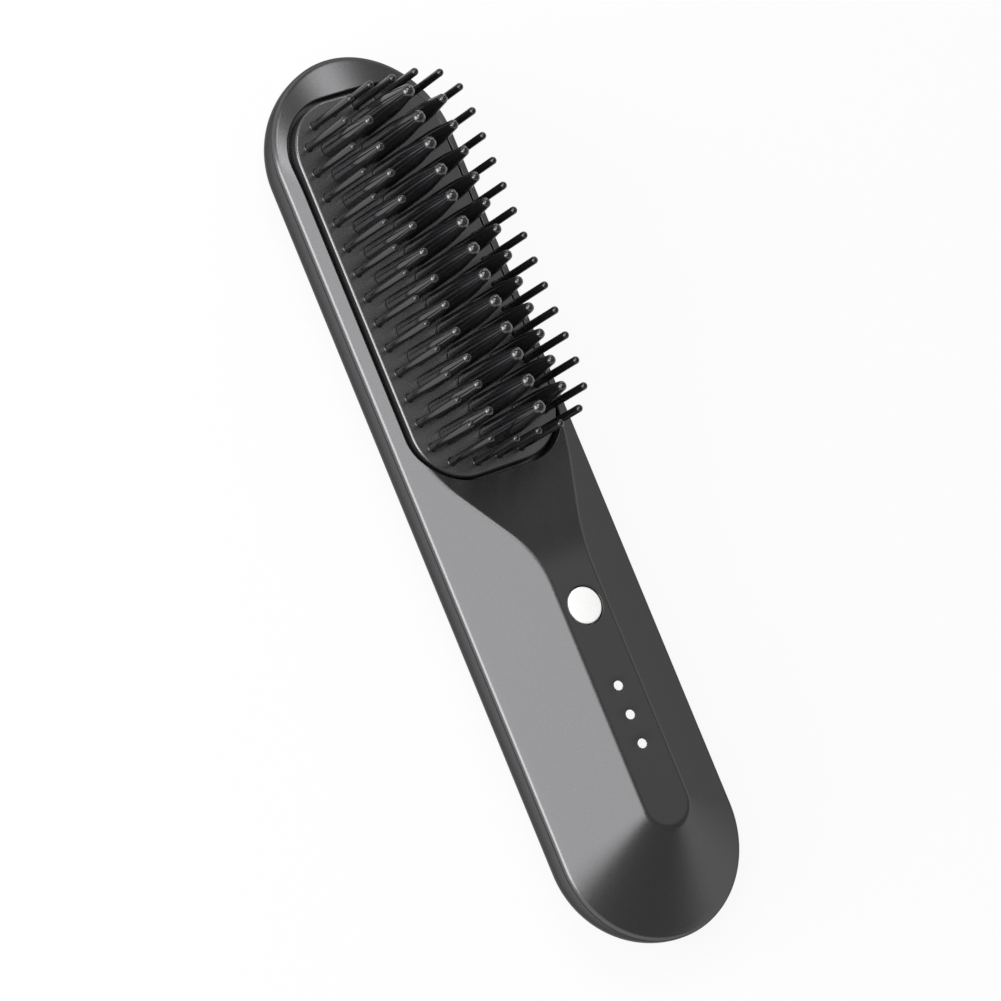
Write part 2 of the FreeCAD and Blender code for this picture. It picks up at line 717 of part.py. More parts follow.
def back_cover():
    outer = back_form("back_outer", "0", "split_level - seam", "half_width", "back_round")
    cavity = back_form("back_cavity", "cover_wall", "split_level + overrun", "half_width - cover_wall",
                       "back_round - cover_wall")
    inside = back_form("back_inside", "cover_wall / 2", "split_level", "half_width - cover_wall / 2",
                       "back_round - cover_wall / 2")
    ribs = [
        block(f"frame_rib_{index}", "2 * frame_inner_half_width", "rib_thickness", "frame_bottom", "0",
              f"plate_centre + {side} * rib_spacing / 2", "0")
        for index, side in enumerate((-1, 1))
    ]
    post = rod("case_post", "boss_radius", "post_top", "0", "0", "0")
    charge_post = rod("charge_post", "charge_post_radius", "charge_bottom", "0", "0", "0")
    posts = group("case_posts", post, case_places("0"))
    charge_posts = group("charge_posts", charge_post, charge_places("0"))
    supports = common("back_supports", fuse("all_supports", *ribs, posts, charge_posts), inside)
    shell = fuse("back_shell", cut("back_hollow", outer, cavity), supports)
    head_bore = rod("case_head_bore", "case_head_radius + screw_clearance", "case_head_sink + overrun", "0", "0",
                    "0 - overrun")
    shank_bore = rod("case_shank_bore", "case_screw_radius + screw_clearance", "post_top + overrun", "0", "0", "0")
    charge_pilot = rod("charge_pilot", "screw_radius + screw_clearance / 2", "charge_screw_bite + pad_clearance",
                       "0", "0", "0 - charge_screw_bite - pad_clearance")
    slot = racetrack("socket_slot", "socket_width + 2 * socket_clearance", "socket_height + 2 * socket_clearance",
                     "socket_length", "handle_end - overrun")
    holes = [
        group("case_head_bores", head_bore, case_places("0")),
        group("case_shank_bores", shank_bore, case_places("0")),
        group("charge_pilots", charge_pilot, charge_places("charge_bottom")),
    ]
    keep("back_cover", cut("back_cover_solid", shell, slot, *holes))


# Toothed head


def pin_places(level):
    """Guard pins: two side rows and two end rows, drawn in along the round corners."""
    corner_x, corner_y = "(path_half_width - path_corner)", "(path_half_length - path_corner)"
    places = []
    last = (side_rows - 1) // 2
    for step in range(-last, last + 1):
        inward = "path_half_width"
        if abs(step) == last:
            reach = f"(row_half_length - {corner_y})"
            inward = f"({corner_x} + sqrt(path_corner * path_corner - {reach} * {reach}))"
        places += [(f"{side} * {inward}", f"plate_centre + {step} * pin_pitch", level) for side in (-1, 1)]
    for step in range(-(end_pins // 2), end_pins // 2 + 1):
        outward = "path_half_length"
        if abs(step) == end_pins // 2:
            reach = f"({abs(step)} * pin_end_pitch - {corner_x})"
            outward = f"({corner_y} + sqrt(path_corner * path_corner - {reach} * {reach}))"
        places += [(f"{step} * pin_end_pitch", f"plate_centre + {side} * {outward}", level) for side in (-1, 1)]
    return places


def middle_tooth_places(level):
    """Heated teeth of the full middle column."""
    last = (tooth_rows - 1) / 2
    return [("0", f"plate_centre + {index - last} * tooth_pitch", level) for index in range(tooth_rows)]


def side_tooth_places(level):
    """Heated teeth of the two side columns, half a pitch off the middle ones."""
    last = (tooth_rows - 2) / 2
    return [
        (f"{side} * tooth_column", f"plate_centre + {index - last} * tooth_pitch", level)
        for side in (-1, 1)
        for index in range(tooth_rows - 1)
    ]


def lug_places(level):
    """Middles of the frame's four screw lugs."""
    across = "(frame_inner_half_width + frame_wall + lug_reach / 2)"
    return [
        (f"{side} * {across}", f"plate_centre + {end * lug_row_share} * pin_pitch", level)
        for side in (-1, 1)
        for end in (-1, 1)
    ]


def clamp_places(level):
    return [("0", f"plate_centre + {index - 1.5} * clamp_screw_pitch", level) for index in range(4)]


def comb_plate():
    field = plate_column("plate_field", "plate_bottom", "plate_top - plate_bottom", "plate_half_width",
                         "plate_half_length", "plate_corner")
    field.Tip = round_edges(field, "plate_edge_round", field.Tip, "plate_round", flat_at("plate_top"))
    flange = plate_column("plate_flange", "plate_bottom", "flange_thickness", "opening_half_width + flange_lap",
                          "opening_half_length + flange_lap", "opening_corner + flange_lap")
    pin_hole = rod("pin_hole", "pin_radius + pin_clearance", "pin_seat + overrun", "0", "0", "0 - pin_seat")
    tooth_hole = rod("tooth_hole", "tooth_shank_radius + tooth_clearance", "plate_top - plate_bottom + 2 * overrun",
                     "0", "0", "0 - overrun")
    lug_pilot = rod("lug_pilot", "screw_radius + screw_clearance / 2", "overrun + lug_bite + pad_clearance", "0",
                    "0", "0 - overrun")
    holes = [
        group("pin_holes", pin_hole, pin_places("plate_top")),
        group("tooth_holes", tooth_hole,
              middle_tooth_places("plate_bottom") + side_tooth_places("plate_bottom")),
        group("lug_pilots", lug_pilot, lug_places("plate_bottom")),
    ]
    keep("comb_plate", cut("comb_plate_solid", fuse("comb_plate_blank", field, flange), *holes))


def guard_pins():
    straight = "pin_height - pin_radius"
    shaft = rod("pin_shaft", "pin_radius", f"pin_seat + {straight}", "0", "0", "0 - pin_seat")
    flare = cone("pin_flare", "pin_flare_radius", "pin_radius", "pin_flare_height", "0")
    tip = ball("pin_tip", "pin_radius", straight)
    keep("guard_pins", group("guard_pin_set", fuse("guard_pin", shaft, flare, tip), pin_places("plate_top")))


def heated_teeth():
    """Each tooth: a shank through the comb plate, a slightly tapered body up to its waist, a steeper taper
    and a round tip."""
    rise = "(plate_top - heat_top + tooth_clearance)"
    shank = rod("tooth_shank", "tooth_shank_radius", f"{rise} + overrun", "0", "0", "0")
    tip_level = "(plate_top - heat_top + tooth_height - tooth_tip_radius)"
    waist_level = "(plate_top - heat_top + tooth_waist_height)"
    body = cone("tooth_body", "tooth_base_radius", "tooth_waist_radius", f"{waist_level} - {rise}", rise)
    taper = cone("tooth_taper", "tooth_waist_radius", "tooth_tip_radius", f"{tip_level} - {waist_level}", waist_level)
    tip = ball("tooth_tip", "tooth_tip_radius", tip_level)
    middle = fuse("middle_tooth", shank, body, taper, tip)

    side_tip_level = "(plate_top - heat_top + side_tooth_height - side_tooth_tip_radius)"
    foot = doc.addObject("Part::Ellipse", "side_tooth_foot")
    bind(foot, MajorRadius="side_tooth_half_width", MinorRadius="side_tooth_half_length", Placement_z=rise)
    waist = doc.addObject("Part::Circle", "side_tooth_waist")
    bind(waist, Radius="side_waist_radius", Placement_z="plate_top - heat_top + side_waist_height")
    ring = doc.addObject("Part::Circle", "side_tooth_ring")
    bind(ring, Radius="side_tooth_tip_radius", Placement_z=side_tip_level)
    side_taper = doc.addObject("Part::Loft", "side_tooth_taper")
    side_taper.Sections = [foot, waist, ring]
    side_taper.Solid = True
    side_taper.Ruled = True
    side_tip = ball("side_tooth_tip", "side_tooth_tip_radius", side_tip_level)
    side_shank = rod("side_tooth_shank", "tooth_shank_radius", f"{rise} + overrun", "0", "0", "0")
    side = fuse("side_tooth", side_shank, side_taper, side_tip)

    middle_set = group("middle_tooth_set", middle, middle_tooth_places("heat_top"))
    side_set = group("side_tooth_set", side, side_tooth_places("heat_top"))
    teeth = doc.addObject("Part::Compound", "heated_tooth_set")
    teeth.Links = [middle_set, side_set]
    keep("heated_teeth", teeth)


def heater_stack():
    plate = plate_column("heat_plate_blank", "heat_bottom", "heat_plate_thickness", "heat_half_width",
                         "heat_half_length", "heat_plate_corner")
    pilot = rod("clamp_pilot", "screw_radius + screw_clearance / 2", "overrun + clamp_bite + pad_clearance", "0",
                "0", "0 - overrun")
    keep("heat_plate", cut("heat_plate_solid", plate, group("clamp_pilots", pilot, clamp_places("heat_bottom"))))

    bar = block("heater_bar", "heater_width", "heater_length", "heater_thickness", "0", "0", "0")
    bars = [(f"{side} * heater_offset", "plate_centre", "heater_bottom") for side in (-1, 1)]
    keep("ceramic_heaters", group("heater_bars", bar, bars))

    bore = rod("clamp_bore", "screw_radius + screw_clearance", "heater_thickness + 2 * overrun", "0", "0",
               "0 - overrun")
    bores = group("clamp_bores", bore, clamp_places("clamp_bottom"))
    size = ("heat_half_width - clamp_margin", "heat_half_length - clamp_margin", "heat_plate_corner - clamp_margin")
    sheet_blank = plate_column("insulator_blank", "insulator_bottom", "insulator_thickness", *size)
    keep("heater_insulator", cut("insulator_sheet", sheet_blank, bores))
    clamp_blank = plate_column("clamp_blank", "clamp_bottom", "clamp_thickness", *size)
    keep("heater_clamp", cut("clamp_sheet", clamp_blank, bores))

    length = "heat_bottom - clamp_bottom + clamp_bite"
    clamp_screw = screw("clamp_screw", "screw_radius", "screw_head_radius", "screw_head_height", length)
    keep("clamp_screws", group("clamp_screw_set", clamp_screw, clamp_places("clamp_bottom")))

    sensor = block("sensor_film", "sensor_width", "sensor_length", "sensor_thickness", "0", "plate_centre",
                   "heat_bottom - sensor_thickness")
    keep("thermistor", sensor)

    fuse_y = "heater_head + fuse_lead_radius"
    can = rod("fuse_can", "fuse_radius", "fuse_length", "0 - fuse_length / 2", fuse_y, "heater_axis", "x")
    wire = rod("fuse_wire", "fuse_lead_radius", "fuse_span", "0 - fuse_span / 2", fuse_y, "heater_axis", "x")
    keep("thermal_fuse", fuse("thermal_fuse_solid", can, wire))

    pad_blank = plate_column("insulation_pad_blank", "frame_top", "pad_top - frame_top", *size)
    keep("insulation_pad", pad_blank)


def heater_frame():
    outer = plate_column("frame_outer", "frame_bottom", "plate_bottom - frame_bottom",
                         "frame_inner_half_width + frame_wall", "frame_inner_half_length + frame_wall",
                         "frame_inner_corner + frame_wall")
    inner = plate_column("frame_inner", "frame_top", "plate_bottom - frame_top + overrun", "frame_inner_half_width",
                         "frame_inner_half_length", "frame_inner_corner")
    lug = block("frame_lug", "lug_reach + frame_wall", "lug_length", "lug_thickness", "0", "0", "0")
    lug_rows = [
        (f"{side} * (frame_inner_half_width + (lug_reach + frame_wall) / 2)", y, "plate_bottom - lug_thickness")
        for side in (-1, 1)
        for y in {place[1]: None for place in lug_places("0")}
    ]
    lugs = group("frame_lugs", lug, lug_rows)
    bore = rod("lug_bore", "screw_radius + screw_clearance", "lug_thickness + 2 * overrun", "0", "0", "0 - overrun")
    bores = group("lug_bores", bore, lug_places("plate_bottom - lug_thickness"))
    wall_y = "plate_centre - frame_inner_half_length - frame_wall - overrun"
    through = "frame_wall + 2 * overrun"
    lead_holes = [
        rod(f"heater_lead_hole_{index}", "heater_lead_radius + lead_clearance", through, f"{side} * heater_offset",
            wall_y, "heater_axis", "y")
        for index, side in enumerate((-1, 1))
    ]
    lead_holes += [
        rod(f"sensor_lead_hole_{index}", "sensor_lead_radius + lead_clearance", through, f"{side} * sensor_lead_spread",
            wall_y, "sensor_axis", "y")
        for index, side in enumerate((-1, 1))
    ]
    hollow = cut("frame_hollow", outer, inner)
    keep("heater_frame", cut("frame_solid", fuse("frame_blank", hollow, lugs), bores, *lead_holes))
    frame_screw = screw("frame_screw", "screw_radius", "screw_head_radius", "screw_head_height",
                        "lug_thickness + lug_bite")
    keep("frame_screws", group("frame_screw_set", frame_screw, lug_places("plate_bottom - lug_thickness")))


# Cells


def cell_places(y, level):
    return [(f"{side} * cell_offset", y, level) for side in (-1, 1)]


def cells():
    can = rod("cell_can", "cell_radius", "cell_length - cell_cap_height", "0", "0", "0", "y")
    cap = rod("cell_cap", "cell_cap_radius", "cell_length", "0", "0", "0", "y")
    keep("battery_cells", group("cell_pair", fuse("cell", can, cap), cell_places("cell_tail", "cell_axis")))

    middle = "cell_tail + cell_length / 2"
    saddle = block("cradle_blank", "2 * cradle_half_width", "cradle_length", "cradle_height", "0", middle, "cover_wall")
    groove = rod("cradle_groove", "cell_radius + cell_clearance", "cell_length", "0", "0", "0", "y")
    grooves = group("cradle_grooves", groove, cell_places("cell_tail", "cell_axis"))
    keep("battery_cradle", cut("cradle_solid", saddle, grooves))

    strip = block("cell_pad", "cell_pad_width", "cradle_length", "cell_pad_thickness", "0", "0", "0")
    keep("battery_pads", group("cell_pads", strip, cell_places(middle, "cell_axis + cell_radius")))

    bridge = block("tab_bridge", "2 * cell_offset + tab_width", "tab_thickness", "2 * tab_drop", "0",
                   "cell_tail - tab_thickness / 2", "cell_axis - tab_drop")
    tab = block("tab_single", "tab_width", "tab_thickness", "tab_drop + tab_rise", "0", "0", "0")
    head_y = "cell_head + tab_thickness / 2"
    singles = group("tab_singles", tab, cell_places(head_y, "cell_axis - tab_drop"))
    tabs = doc.addObject("Part::Compound", "tab_set")
    tabs.Links = [bridge, singles]
    keep("battery_tabs", tabs)

    rise = "cell_axis + tab_rise"
    wire = rod("cell_lead", "cell_lead_radius", f"board_bottom - ({rise})", "0", "0", "0")
    lead_y = "cell_head + tab_thickness / 2 + cell_lead_radius"
    keep("battery_leads", group("cell_leads", wire, cell_places(lead_y, rise)))


# Main board


def board_part(label, across, along, height, x, y):
    return keep(label, block(label + "_body", across, along, height, x, y, "board_top"))


def main_board():
    length = "board_head - (board_tail)"
    blank = block("board_blank", "2 * board_half_width", length, "board_thickness", "0",
                  "(board_head + board_tail) / 2", "board_bottom")
    bore = rod("board_bore", "screw_radius + screw_clearance", "board_thickness + 2 * overrun", "0", "0",
               "0 - overrun")
    keep("main_board", cut("board_solid", blank, group("board_bores", bore, board_places("board_bottom"))))
    board_screw = screw("board_screw", "screw_radius", "screw_head_radius", "screw_head_height",
                        "board_thickness + board_screw_bite")
    keep("board_screws", group("board_screw_set", board_screw, board_places("board_bottom")))

    board_part("heater_plug", "plug_width", "plug_length", "plug_height", "0", "board_head - plug_length / 2")
    board_part("control_chip", "chip_width", "chip_length", "chip_height", "0 - part_column", "part_y - coil_side")
    board_part("charge_coil", "coil_side", "coil_side", "coil_height", "part_column", "part_y - coil_side")
    transistor = block("transistor", "transistor_width", "transistor_length", "transistor_height", "0", "0", "0")
    transistors = [(f"{side} * part_column", "lamp_y - lamp_pitch * 1.5", "board_top") for side in (-1, 1)]
    keep("power_transistors", group("transistor_pair", transistor, transistors))
    can = rod("capacitor", "capacitor_radius", "capacitor_height", "0", "0", "0")
    cans = [(f"{side} * part_column", "button_y - switch_side", "board_top") for side in (-1, 1)]
    keep("board_capacitors", group("capacitor_pair", can, cans))


def switch_and_button():
    body = block("switch_body", "switch_side", "switch_side", "switch_height", "0", "button_y", "board_top")
    well_floor = "switch_top - plunger_seat - button_travel - plunger_clearance"
    well = rod("switch_well", "plunger_radius + plunger_clearance", f"switch_top - ({well_floor}) + overrun", "0",
               "button_y", well_floor)
    keep("tact_switch", cut("tact_switch_solid", body, well))
    plunger = rod("plunger", "plunger_radius", "plunger_seat + plunger_rise", "0", "button_y",
                  "switch_top - plunger_seat")
    keep("switch_plunger", plunger)
    stem = rod("button_stem", "stem_radius", "stem_length", "0", "button_y", "plunger_top")
    flange = rod("button_flange_disc", "button_flange_radius", "button_flange", "0", "button_y", "flange_bottom")
    cap = rod("button_cap", "button_radius", "button_play + cover_wall + button_proud", "0", "button_y", "flange_top")
    keep("power_button", fuse("power_button_solid", stem, flange, cap))


def lamps():
    low = "board_top + lamp_chip_height + lamp_gap"
    pipes = [
        rod(f"lamp_pipe_{index}", "lamp_radius", f"strip_level - ({low})", "0", y, low)
        for index, y in enumerate(lamp_rows())
    ]
    bar = block("lamp_bar", "2 * lamp_bar_half_width", "2 * lamp_pitch + 2 * lamp_bar_half_width",
                "lamp_bar_thickness", "0", "lamp_y - lamp_pitch", "strip_inner - lamp_bar_thickness")
    keep("light_pipe", fuse("light_pipe_solid", bar, *pipes))
    chip = block("lamp_chip", "lamp_chip_width", "lamp_chip_length", "lamp_chip_height", "0", "0", "0")
    keep("led_chips", group("lamp_chips", chip, [("0", y, "board_top") for y in lamp_rows()]))


# Charging socket


def charging():
    blank = block("charge_blank", "2 * charge_half_width", "charge_length", "board_thickness", "0",
                  "charge_tail + charge_length / 2", "charge_bottom")
    bore = rod("charge_bore", "screw_radius + screw_clearance", "board_thickness + 2 * overrun", "0", "0",
               "0 - overrun")
    bores = group("charge_bores", bore, charge_places("charge_bottom"))
    keep("charge_board", cut("charge_board_solid", blank, bores))
    upright = screw("charge_screw_up", "screw_radius", "screw_head_radius", "screw_head_height",
                    "board_thickness + charge_screw_bite")
    doc.recompute()
    turned = doc.addObject("Part::Feature", "charge_screw")
    turned.Shape = upright.Shape.rotated(Vector(), Vector(1, 0, 0), 180)
    keep("charge_screws", group("charge_screw_set", turned, charge_places("charge_top")))
    chip_y = "charge_head - charge_chip_inset"
    keep("charge_chip", block("charge_chip_body", "charge_chip_side", "charge_chip_side", "charge_chip_height", "0",
                              chip_y, "charge_top"))

    inner_width, inner_height = "socket_width - 2 * socket_wall", "socket_height - 2 * socket_wall"
    tube = racetrack("socket_tube", "socket_width", "socket_height", "socket_length", "socket_mouth")
    hollow = racetrack("socket_hollow", inner_width, inner_height, "socket_length + 2 * overrun",
                       "socket_mouth - overrun")
    keep("charge_socket", cut("charge_socket_solid", tube, hollow))
    back_y = "socket_mouth + socket_length - tongue_base"
    base = racetrack("tongue_block", inner_width, inner_height, "tongue_base", back_y)
    reach = "socket_length - tongue_recess"
    tongue = block("tongue_blade", "tongue_width", reach, "tongue_thickness", "0",
                   f"socket_mouth + tongue_recess + ({reach}) / 2", "socket_axis - tongue_thickness / 2")
    keep("socket_tongue", fuse("socket_tongue_solid", base, tongue))


# Wires


def lead(points, radius):
    """Round wire along straight runs, with a tangent arc as large as the runs allow at each turn."""
    route = [Vector(*(number(value) for value in point)) for point in points]
    edges = []
    start = route[0]
    for before, corner, after in zip(route, route[1:], route[2:]):
        entry = (corner - before).normalize()
        leave = (after - corner).normalize()
        half_turn = entry.getAngle(leave) / 2
        shorter = min((corner - before).Length, (after - corner).Length)
        bend_share = 0.45  # part of the shorter run that the arc takes
        tangent = bend_share * shorter
        bend = tangent / math.tan(half_turn)
        inward = (leave - entry).normalize()
        arc_middle = corner + inward * (bend / math.cos(half_turn) - bend)
        arc_start, arc_end = corner - entry * tangent, corner + leave * tangent
        edges.append(Part.LineSegment(start, arc_start).toShape())
        edges.append(Part.Arc(arc_start, arc_middle, arc_end).toShape())
        start = arc_end
    edges.append(Part.LineSegment(start, route[-1]).toShape())
    path = Part.Wire(edges)
    section = Part.Wire(Part.Circle(route[0], route[1] - route[0], number(radius)).toShape())
    tube = path.makePipeShell([section], True, True)
    wanted = math.pi * number(radius) ** 2 * path.Length
    print(f"wire: length {path.Length:.1f}, volume {tube.Volume:.2f}, section times length {wanted:.2f}")
    return tube


def wire_pair(label, radius, points):
    """Two wires that mirror each other across the middle of the brush."""
    pair = []
    for side in (-1, 1):
        pair.append(lead([(f"{side} * ({x})", y, z) for x, y, z in points], radius))
    wires = doc.addObject("Part::Feature", label + "_pair")
    wires.Shape = Part.makeCompound(pair)
    keep(label, wires)


def wires():
    frame_face = "plate_centre - frame_inner_half_length - frame_wall"
    boss_y = "(cell_head + case_head_gap)"
    wire_pair("heater_leads", "heater_lead_radius", [
        ("heater_offset", "heater_tail", "heater_axis"),
        ("heater_offset", f"{frame_face} - lead_run", "heater_axis"),
        ("heater_lead_offset", f"{boss_y} + boss_radius + lead_run", "heater_axis + lead_run"),
        ("heater_lead_offset", "board_head + lead_run", "board_top + lead_rise"),
        ("heater_lead_offset", "board_head", "board_top + lead_rise"),
    ])
    wire_pair("sensor_leads", "sensor_lead_radius", [
        ("sensor_lead_spread", "plate_centre - sensor_length / 2", "sensor_axis"),
        ("sensor_lead_spread", frame_face, "sensor_axis"),
        ("sensor_lead_offset", f"{boss_y} + boss_radius", "sensor_axis"),
        ("sensor_lead_offset", "board_head + lead_run", "board_bottom + board_thickness / 2"),
        ("sensor_lead_offset", "board_head", "board_bottom + board_thickness / 2"),
    ])
    wire_pair("charge_leads", "charge_lead_radius", [
        ("charge_lead_offset", "charge_head - charge_lead_inset", "charge_top"),
        ("charge_lead_offset", "charge_head - charge_lead_inset", "board_bottom - lead_drop"),
        ("charge_lead_offset", "cell_tail - lead_run", "board_bottom + board_thickness / 2"),
        ("charge_lead_offset", "board_tail", "board_bottom + board_thickness / 2"),
    ])


def case_screws():
    master = screw("case_screw", "case_screw_radius", "case_head_radius", "case_head_height", "case_screw_length")
    keep("case_screws", group("case_screw_set", master, case_places("case_head_sink")))


front_cover()
back_cover()
comb_plate()
guard_pins()
heated_teeth()
heater_stack()
heater_frame()
cells()
main_board()
switch_and_button()
lamps()
charging()
wires()
case_screws()
doc.recompute()

failed = [thing.Name for thing in doc.Objects if {"Invalid", "Error"} & set(thing.State)]
unsound = [piece.Label for piece in pieces if piece.Shape.isNull() or not piece.Shape.isValid()]
if failed or unsound:
    raise RuntimeError(f"failed objects: {failed}; unsound pieces: {unsound}")

os.makedirs("parts", exist_ok=True)
for piece in pieces:
    print(f"{piece.Label}: {len(piece.Shape.Solids)} solids, {piece.Shape.Volume:.1f} cubic mm")
    piece.Shape.exportStep(f"parts/{piece.Label}.step")
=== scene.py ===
import bmesh
import bpy
import numpy as np
from mathutils import Matrix, Vector


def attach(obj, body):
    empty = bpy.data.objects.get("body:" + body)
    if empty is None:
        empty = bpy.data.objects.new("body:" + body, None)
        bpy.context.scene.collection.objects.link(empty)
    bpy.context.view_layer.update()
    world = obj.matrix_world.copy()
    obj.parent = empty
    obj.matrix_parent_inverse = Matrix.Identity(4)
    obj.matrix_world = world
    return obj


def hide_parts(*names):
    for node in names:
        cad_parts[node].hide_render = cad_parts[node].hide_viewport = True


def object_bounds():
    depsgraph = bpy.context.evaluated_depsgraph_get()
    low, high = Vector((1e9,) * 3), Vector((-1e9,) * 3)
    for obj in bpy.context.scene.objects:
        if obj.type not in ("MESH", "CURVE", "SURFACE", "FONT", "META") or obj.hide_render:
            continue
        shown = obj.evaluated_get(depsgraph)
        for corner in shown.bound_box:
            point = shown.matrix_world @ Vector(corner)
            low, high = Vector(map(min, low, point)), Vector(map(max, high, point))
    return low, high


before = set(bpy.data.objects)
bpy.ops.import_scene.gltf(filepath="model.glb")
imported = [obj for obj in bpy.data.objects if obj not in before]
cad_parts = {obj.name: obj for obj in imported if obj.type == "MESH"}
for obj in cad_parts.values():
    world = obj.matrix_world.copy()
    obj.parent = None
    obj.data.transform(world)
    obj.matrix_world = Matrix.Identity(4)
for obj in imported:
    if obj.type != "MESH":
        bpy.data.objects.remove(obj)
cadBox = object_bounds()
print("loaded", len(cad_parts), "nodes")

# All lengths below are in millimetres and become metres when a mesh or a texture is made
mm = 0.001

# Keeps a division away from zero
tiny = 1e-9

# Outer form shared by the two covers
bodyForm = {
    "headEnd": cadBox[1][1] / mm,
    "handleEnd": cadBox[0][1] / mm,
    "halfWidth": 20.4,
    "splitLevel": 13.5,
    "seam": 0.2,
    "rimLevel": 14.23,
    "ridgeRise": 10.27,
    "ridgeHalfWidth": 5.15,
    "headSlopeRun": 52.3,
    "ridgeTail": 25.3,
    "openingHalfWidth": 17.7,
    "openingHalfLength": 40.212,
    "openingCorner": 11.9,
    "headMargin": 7.4,
    "rampRun": 24.7,
}
plateCentre = bodyForm["headEnd"] - bodyForm["headMargin"] - bodyForm["openingHalfLength"]


# Adds one node, sets its properties, and links or fills its inputs
def addNode(tree, kind, settings=None, inputs=None):
    node = tree.nodes.new(kind)
    for key, value in (settings or {}).items():
        setattr(node, key, value)
    for key, value in (inputs or {}).items():
        if isinstance(value, bpy.types.NodeSocket):
            tree.links.new(value, node.inputs[key])
        else:
            node.inputs[key].default_value = value
    return node


# sRGB hex text to linear RGBA: c / 12.92 below 0.04045, else ((c + 0.055) / 1.055) to the power 2.4
def hexColour(text):
    part = np.array([int(text[i:i + 2], 16) for i in (1, 3, 5)]) / 255
    linear = np.where(part <= 0.04045, part / 12.92, ((part + 0.055) / 1.055) ** 2.4)
    return tuple(linear) + (1.0,)


# Quads of a grid of points; a closed grid also joins its last row to its first
def gridQuads(rows, columns, closed):
    i = np.arange(rows if closed else rows - 1)[:, None]
    j = np.arange(columns - 1)[None, :]
    k = (i + 1) % rows
    return np.stack([i * columns + j, k * columns + j, k * columns + j + 1, i * columns + j + 1], -1)


# One patch: a grid of points, its turn, whether it closes, and a block of cells left open
def patch(points, flip=False, closed=False, skip=None):
    quads = gridQuads(points.shape[0], points.shape[1], closed)
    keep = np.ones(quads.shape[:2], bool)
    if skip:
        keep[skip[0]:skip[1], skip[2]:skip[3]] = False
    quads = quads[keep]
    return points.reshape(-1, 3), quads[:, ::-1] if flip else quads


# The same patch mirrored in the plane x = 0
def mirrored(part):
    return part[0] * np.array([-1.0, 1.0, 1.0]), part[1][:, ::-1]


# Points closer than "weld" become one and edges shorter than "thin" are taken out, both in mm; an edge
# turned by more than "sharp" degrees stays sharp
meshValues = {"weld": 0.002, "thin": 0.0005, "sharp": 50.0}


# Welds patches into one smooth piece that rides a body and stands in for CAD nodes
def makePiece(name, patches, material, body, nodes, sharp=meshValues["sharp"]):
    starts = np.cumsum([0] + [len(part[0]) for part in patches[:-1]])
    points = np.concatenate([part[0] for part in patches]) * mm
    quads = np.concatenate([part[1] + start for part, start in zip(patches, starts)])
    mesh = bpy.data.meshes.new(name)
    mesh.from_pydata(points.tolist(), [], quads.tolist())
    work = bmesh.new()
    work.from_mesh(mesh)
    bmesh.ops.remove_doubles(work, verts=work.verts, dist=meshValues["weld"] * mm)
    bmesh.ops.dissolve_degenerate(work, edges=work.edges, dist=meshValues["thin"] * mm)
    work.to_mesh(mesh)
    work.free()
    mesh.shade_smooth()
    mesh.set_sharp_from_angle(angle=np.radians(sharp))
    mesh.materials.append(material)
    piece = bpy.data.objects.new(name, mesh)
    bpy.context.scene.collection.objects.link(piece)
    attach(piece, body)
    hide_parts(*nodes)
    return piece


# Surface of revolution: the profile (radius, height) swept round an upright axis at each place;
# a share per profile point scales the radius along y, which makes the section an oval
def revolved(profile, places, segments, share=1.0):
    turn = np.linspace(0, 2 * np.pi, segments, endpoint=False)
    radius, height = np.asarray(profile, float).T
    ring = np.stack([
        np.cos(turn)[:, None] * radius,
        np.sin(turn)[:, None] * radius * share,
        np.zeros(segments)[:, None] + height,
    ], -1)
    return [patch(ring + np.append(place, 0.0), closed=True) for place in places]


# Material finishes

# Shared by all finishes: detail of the noise, the band of it that spreads the roughness, bump strength
finishValues = {"detail": 3.0, "noiseBand": (0.3, 0.7), "bumpStrength": 0.3}


# Base of a procedural finish: two colours and two roughnesses mixed by a noise of the given grain,
# and the same noise as a bump of the given depth; the mix node takes its colours at inputs 6 and 7
def finishMaterial(name, values):
    material = bpy.data.materials.new(name)
    material.use_nodes = True
    tree = material.node_tree
    shader = tree.nodes["Principled BSDF"]
    place = addNode(tree, "ShaderNodeTexCoord").outputs["Object"]
    noise = addNode(tree, "ShaderNodeTexNoise", inputs={
        "Vector": place, "Scale": 1 / (values["grain"] * mm), "Detail": finishValues["detail"]}).outputs[0]
    colour = addNode(tree, "ShaderNodeMix", {"data_type": "RGBA"}, {
        "Factor": noise, 6: hexColour(values["colours"][0]), 7: hexColour(values["colours"][1])}).outputs[2]
    noiseLow, noiseHigh = finishValues["noiseBand"]
    rough = addNode(tree, "ShaderNodeMapRange", inputs={
        "Value": noise, "From Min": noiseLow, "From Max": noiseHigh,
        "To Min": values["rough"][0], "To Max": values["rough"][1]}).outputs[0]
    bump = addNode(tree, "ShaderNodeBump", inputs={
        "Height": noise, "Strength": finishValues["bumpStrength"],
        "Distance": values["depth"] * mm}).outputs[0]
    tree.links.new(colour, shader.inputs["Base Color"])
    tree.links.new(rough, shader.inputs["Roughness"])
    tree.links.new(bump, shader.inputs["Normal"])
    for key, value in values.get("shader", {}).items():
        shader.inputs[key].default_value = value
    return material


# Sprayed satin coat with fine metal flake on moulded ABS: broad soft sheen, grey, faint sparkle.
# Real flake is about 0.03 mm; it is drawn at 0.25 mm so that the picture can hold it.
coverCoat = finishMaterial("satinFlakeCoatOnAbs", {
    "colours": ("#5c5c5d", "#636364"),
    "rough": (0.27, 0.31),
    "grain": 0.25,
    "depth": 0.0008,
    "shader": {"Metallic": 0.9, "Specular Tint": (0.25, 0.25, 0.25, 1.0)},
})

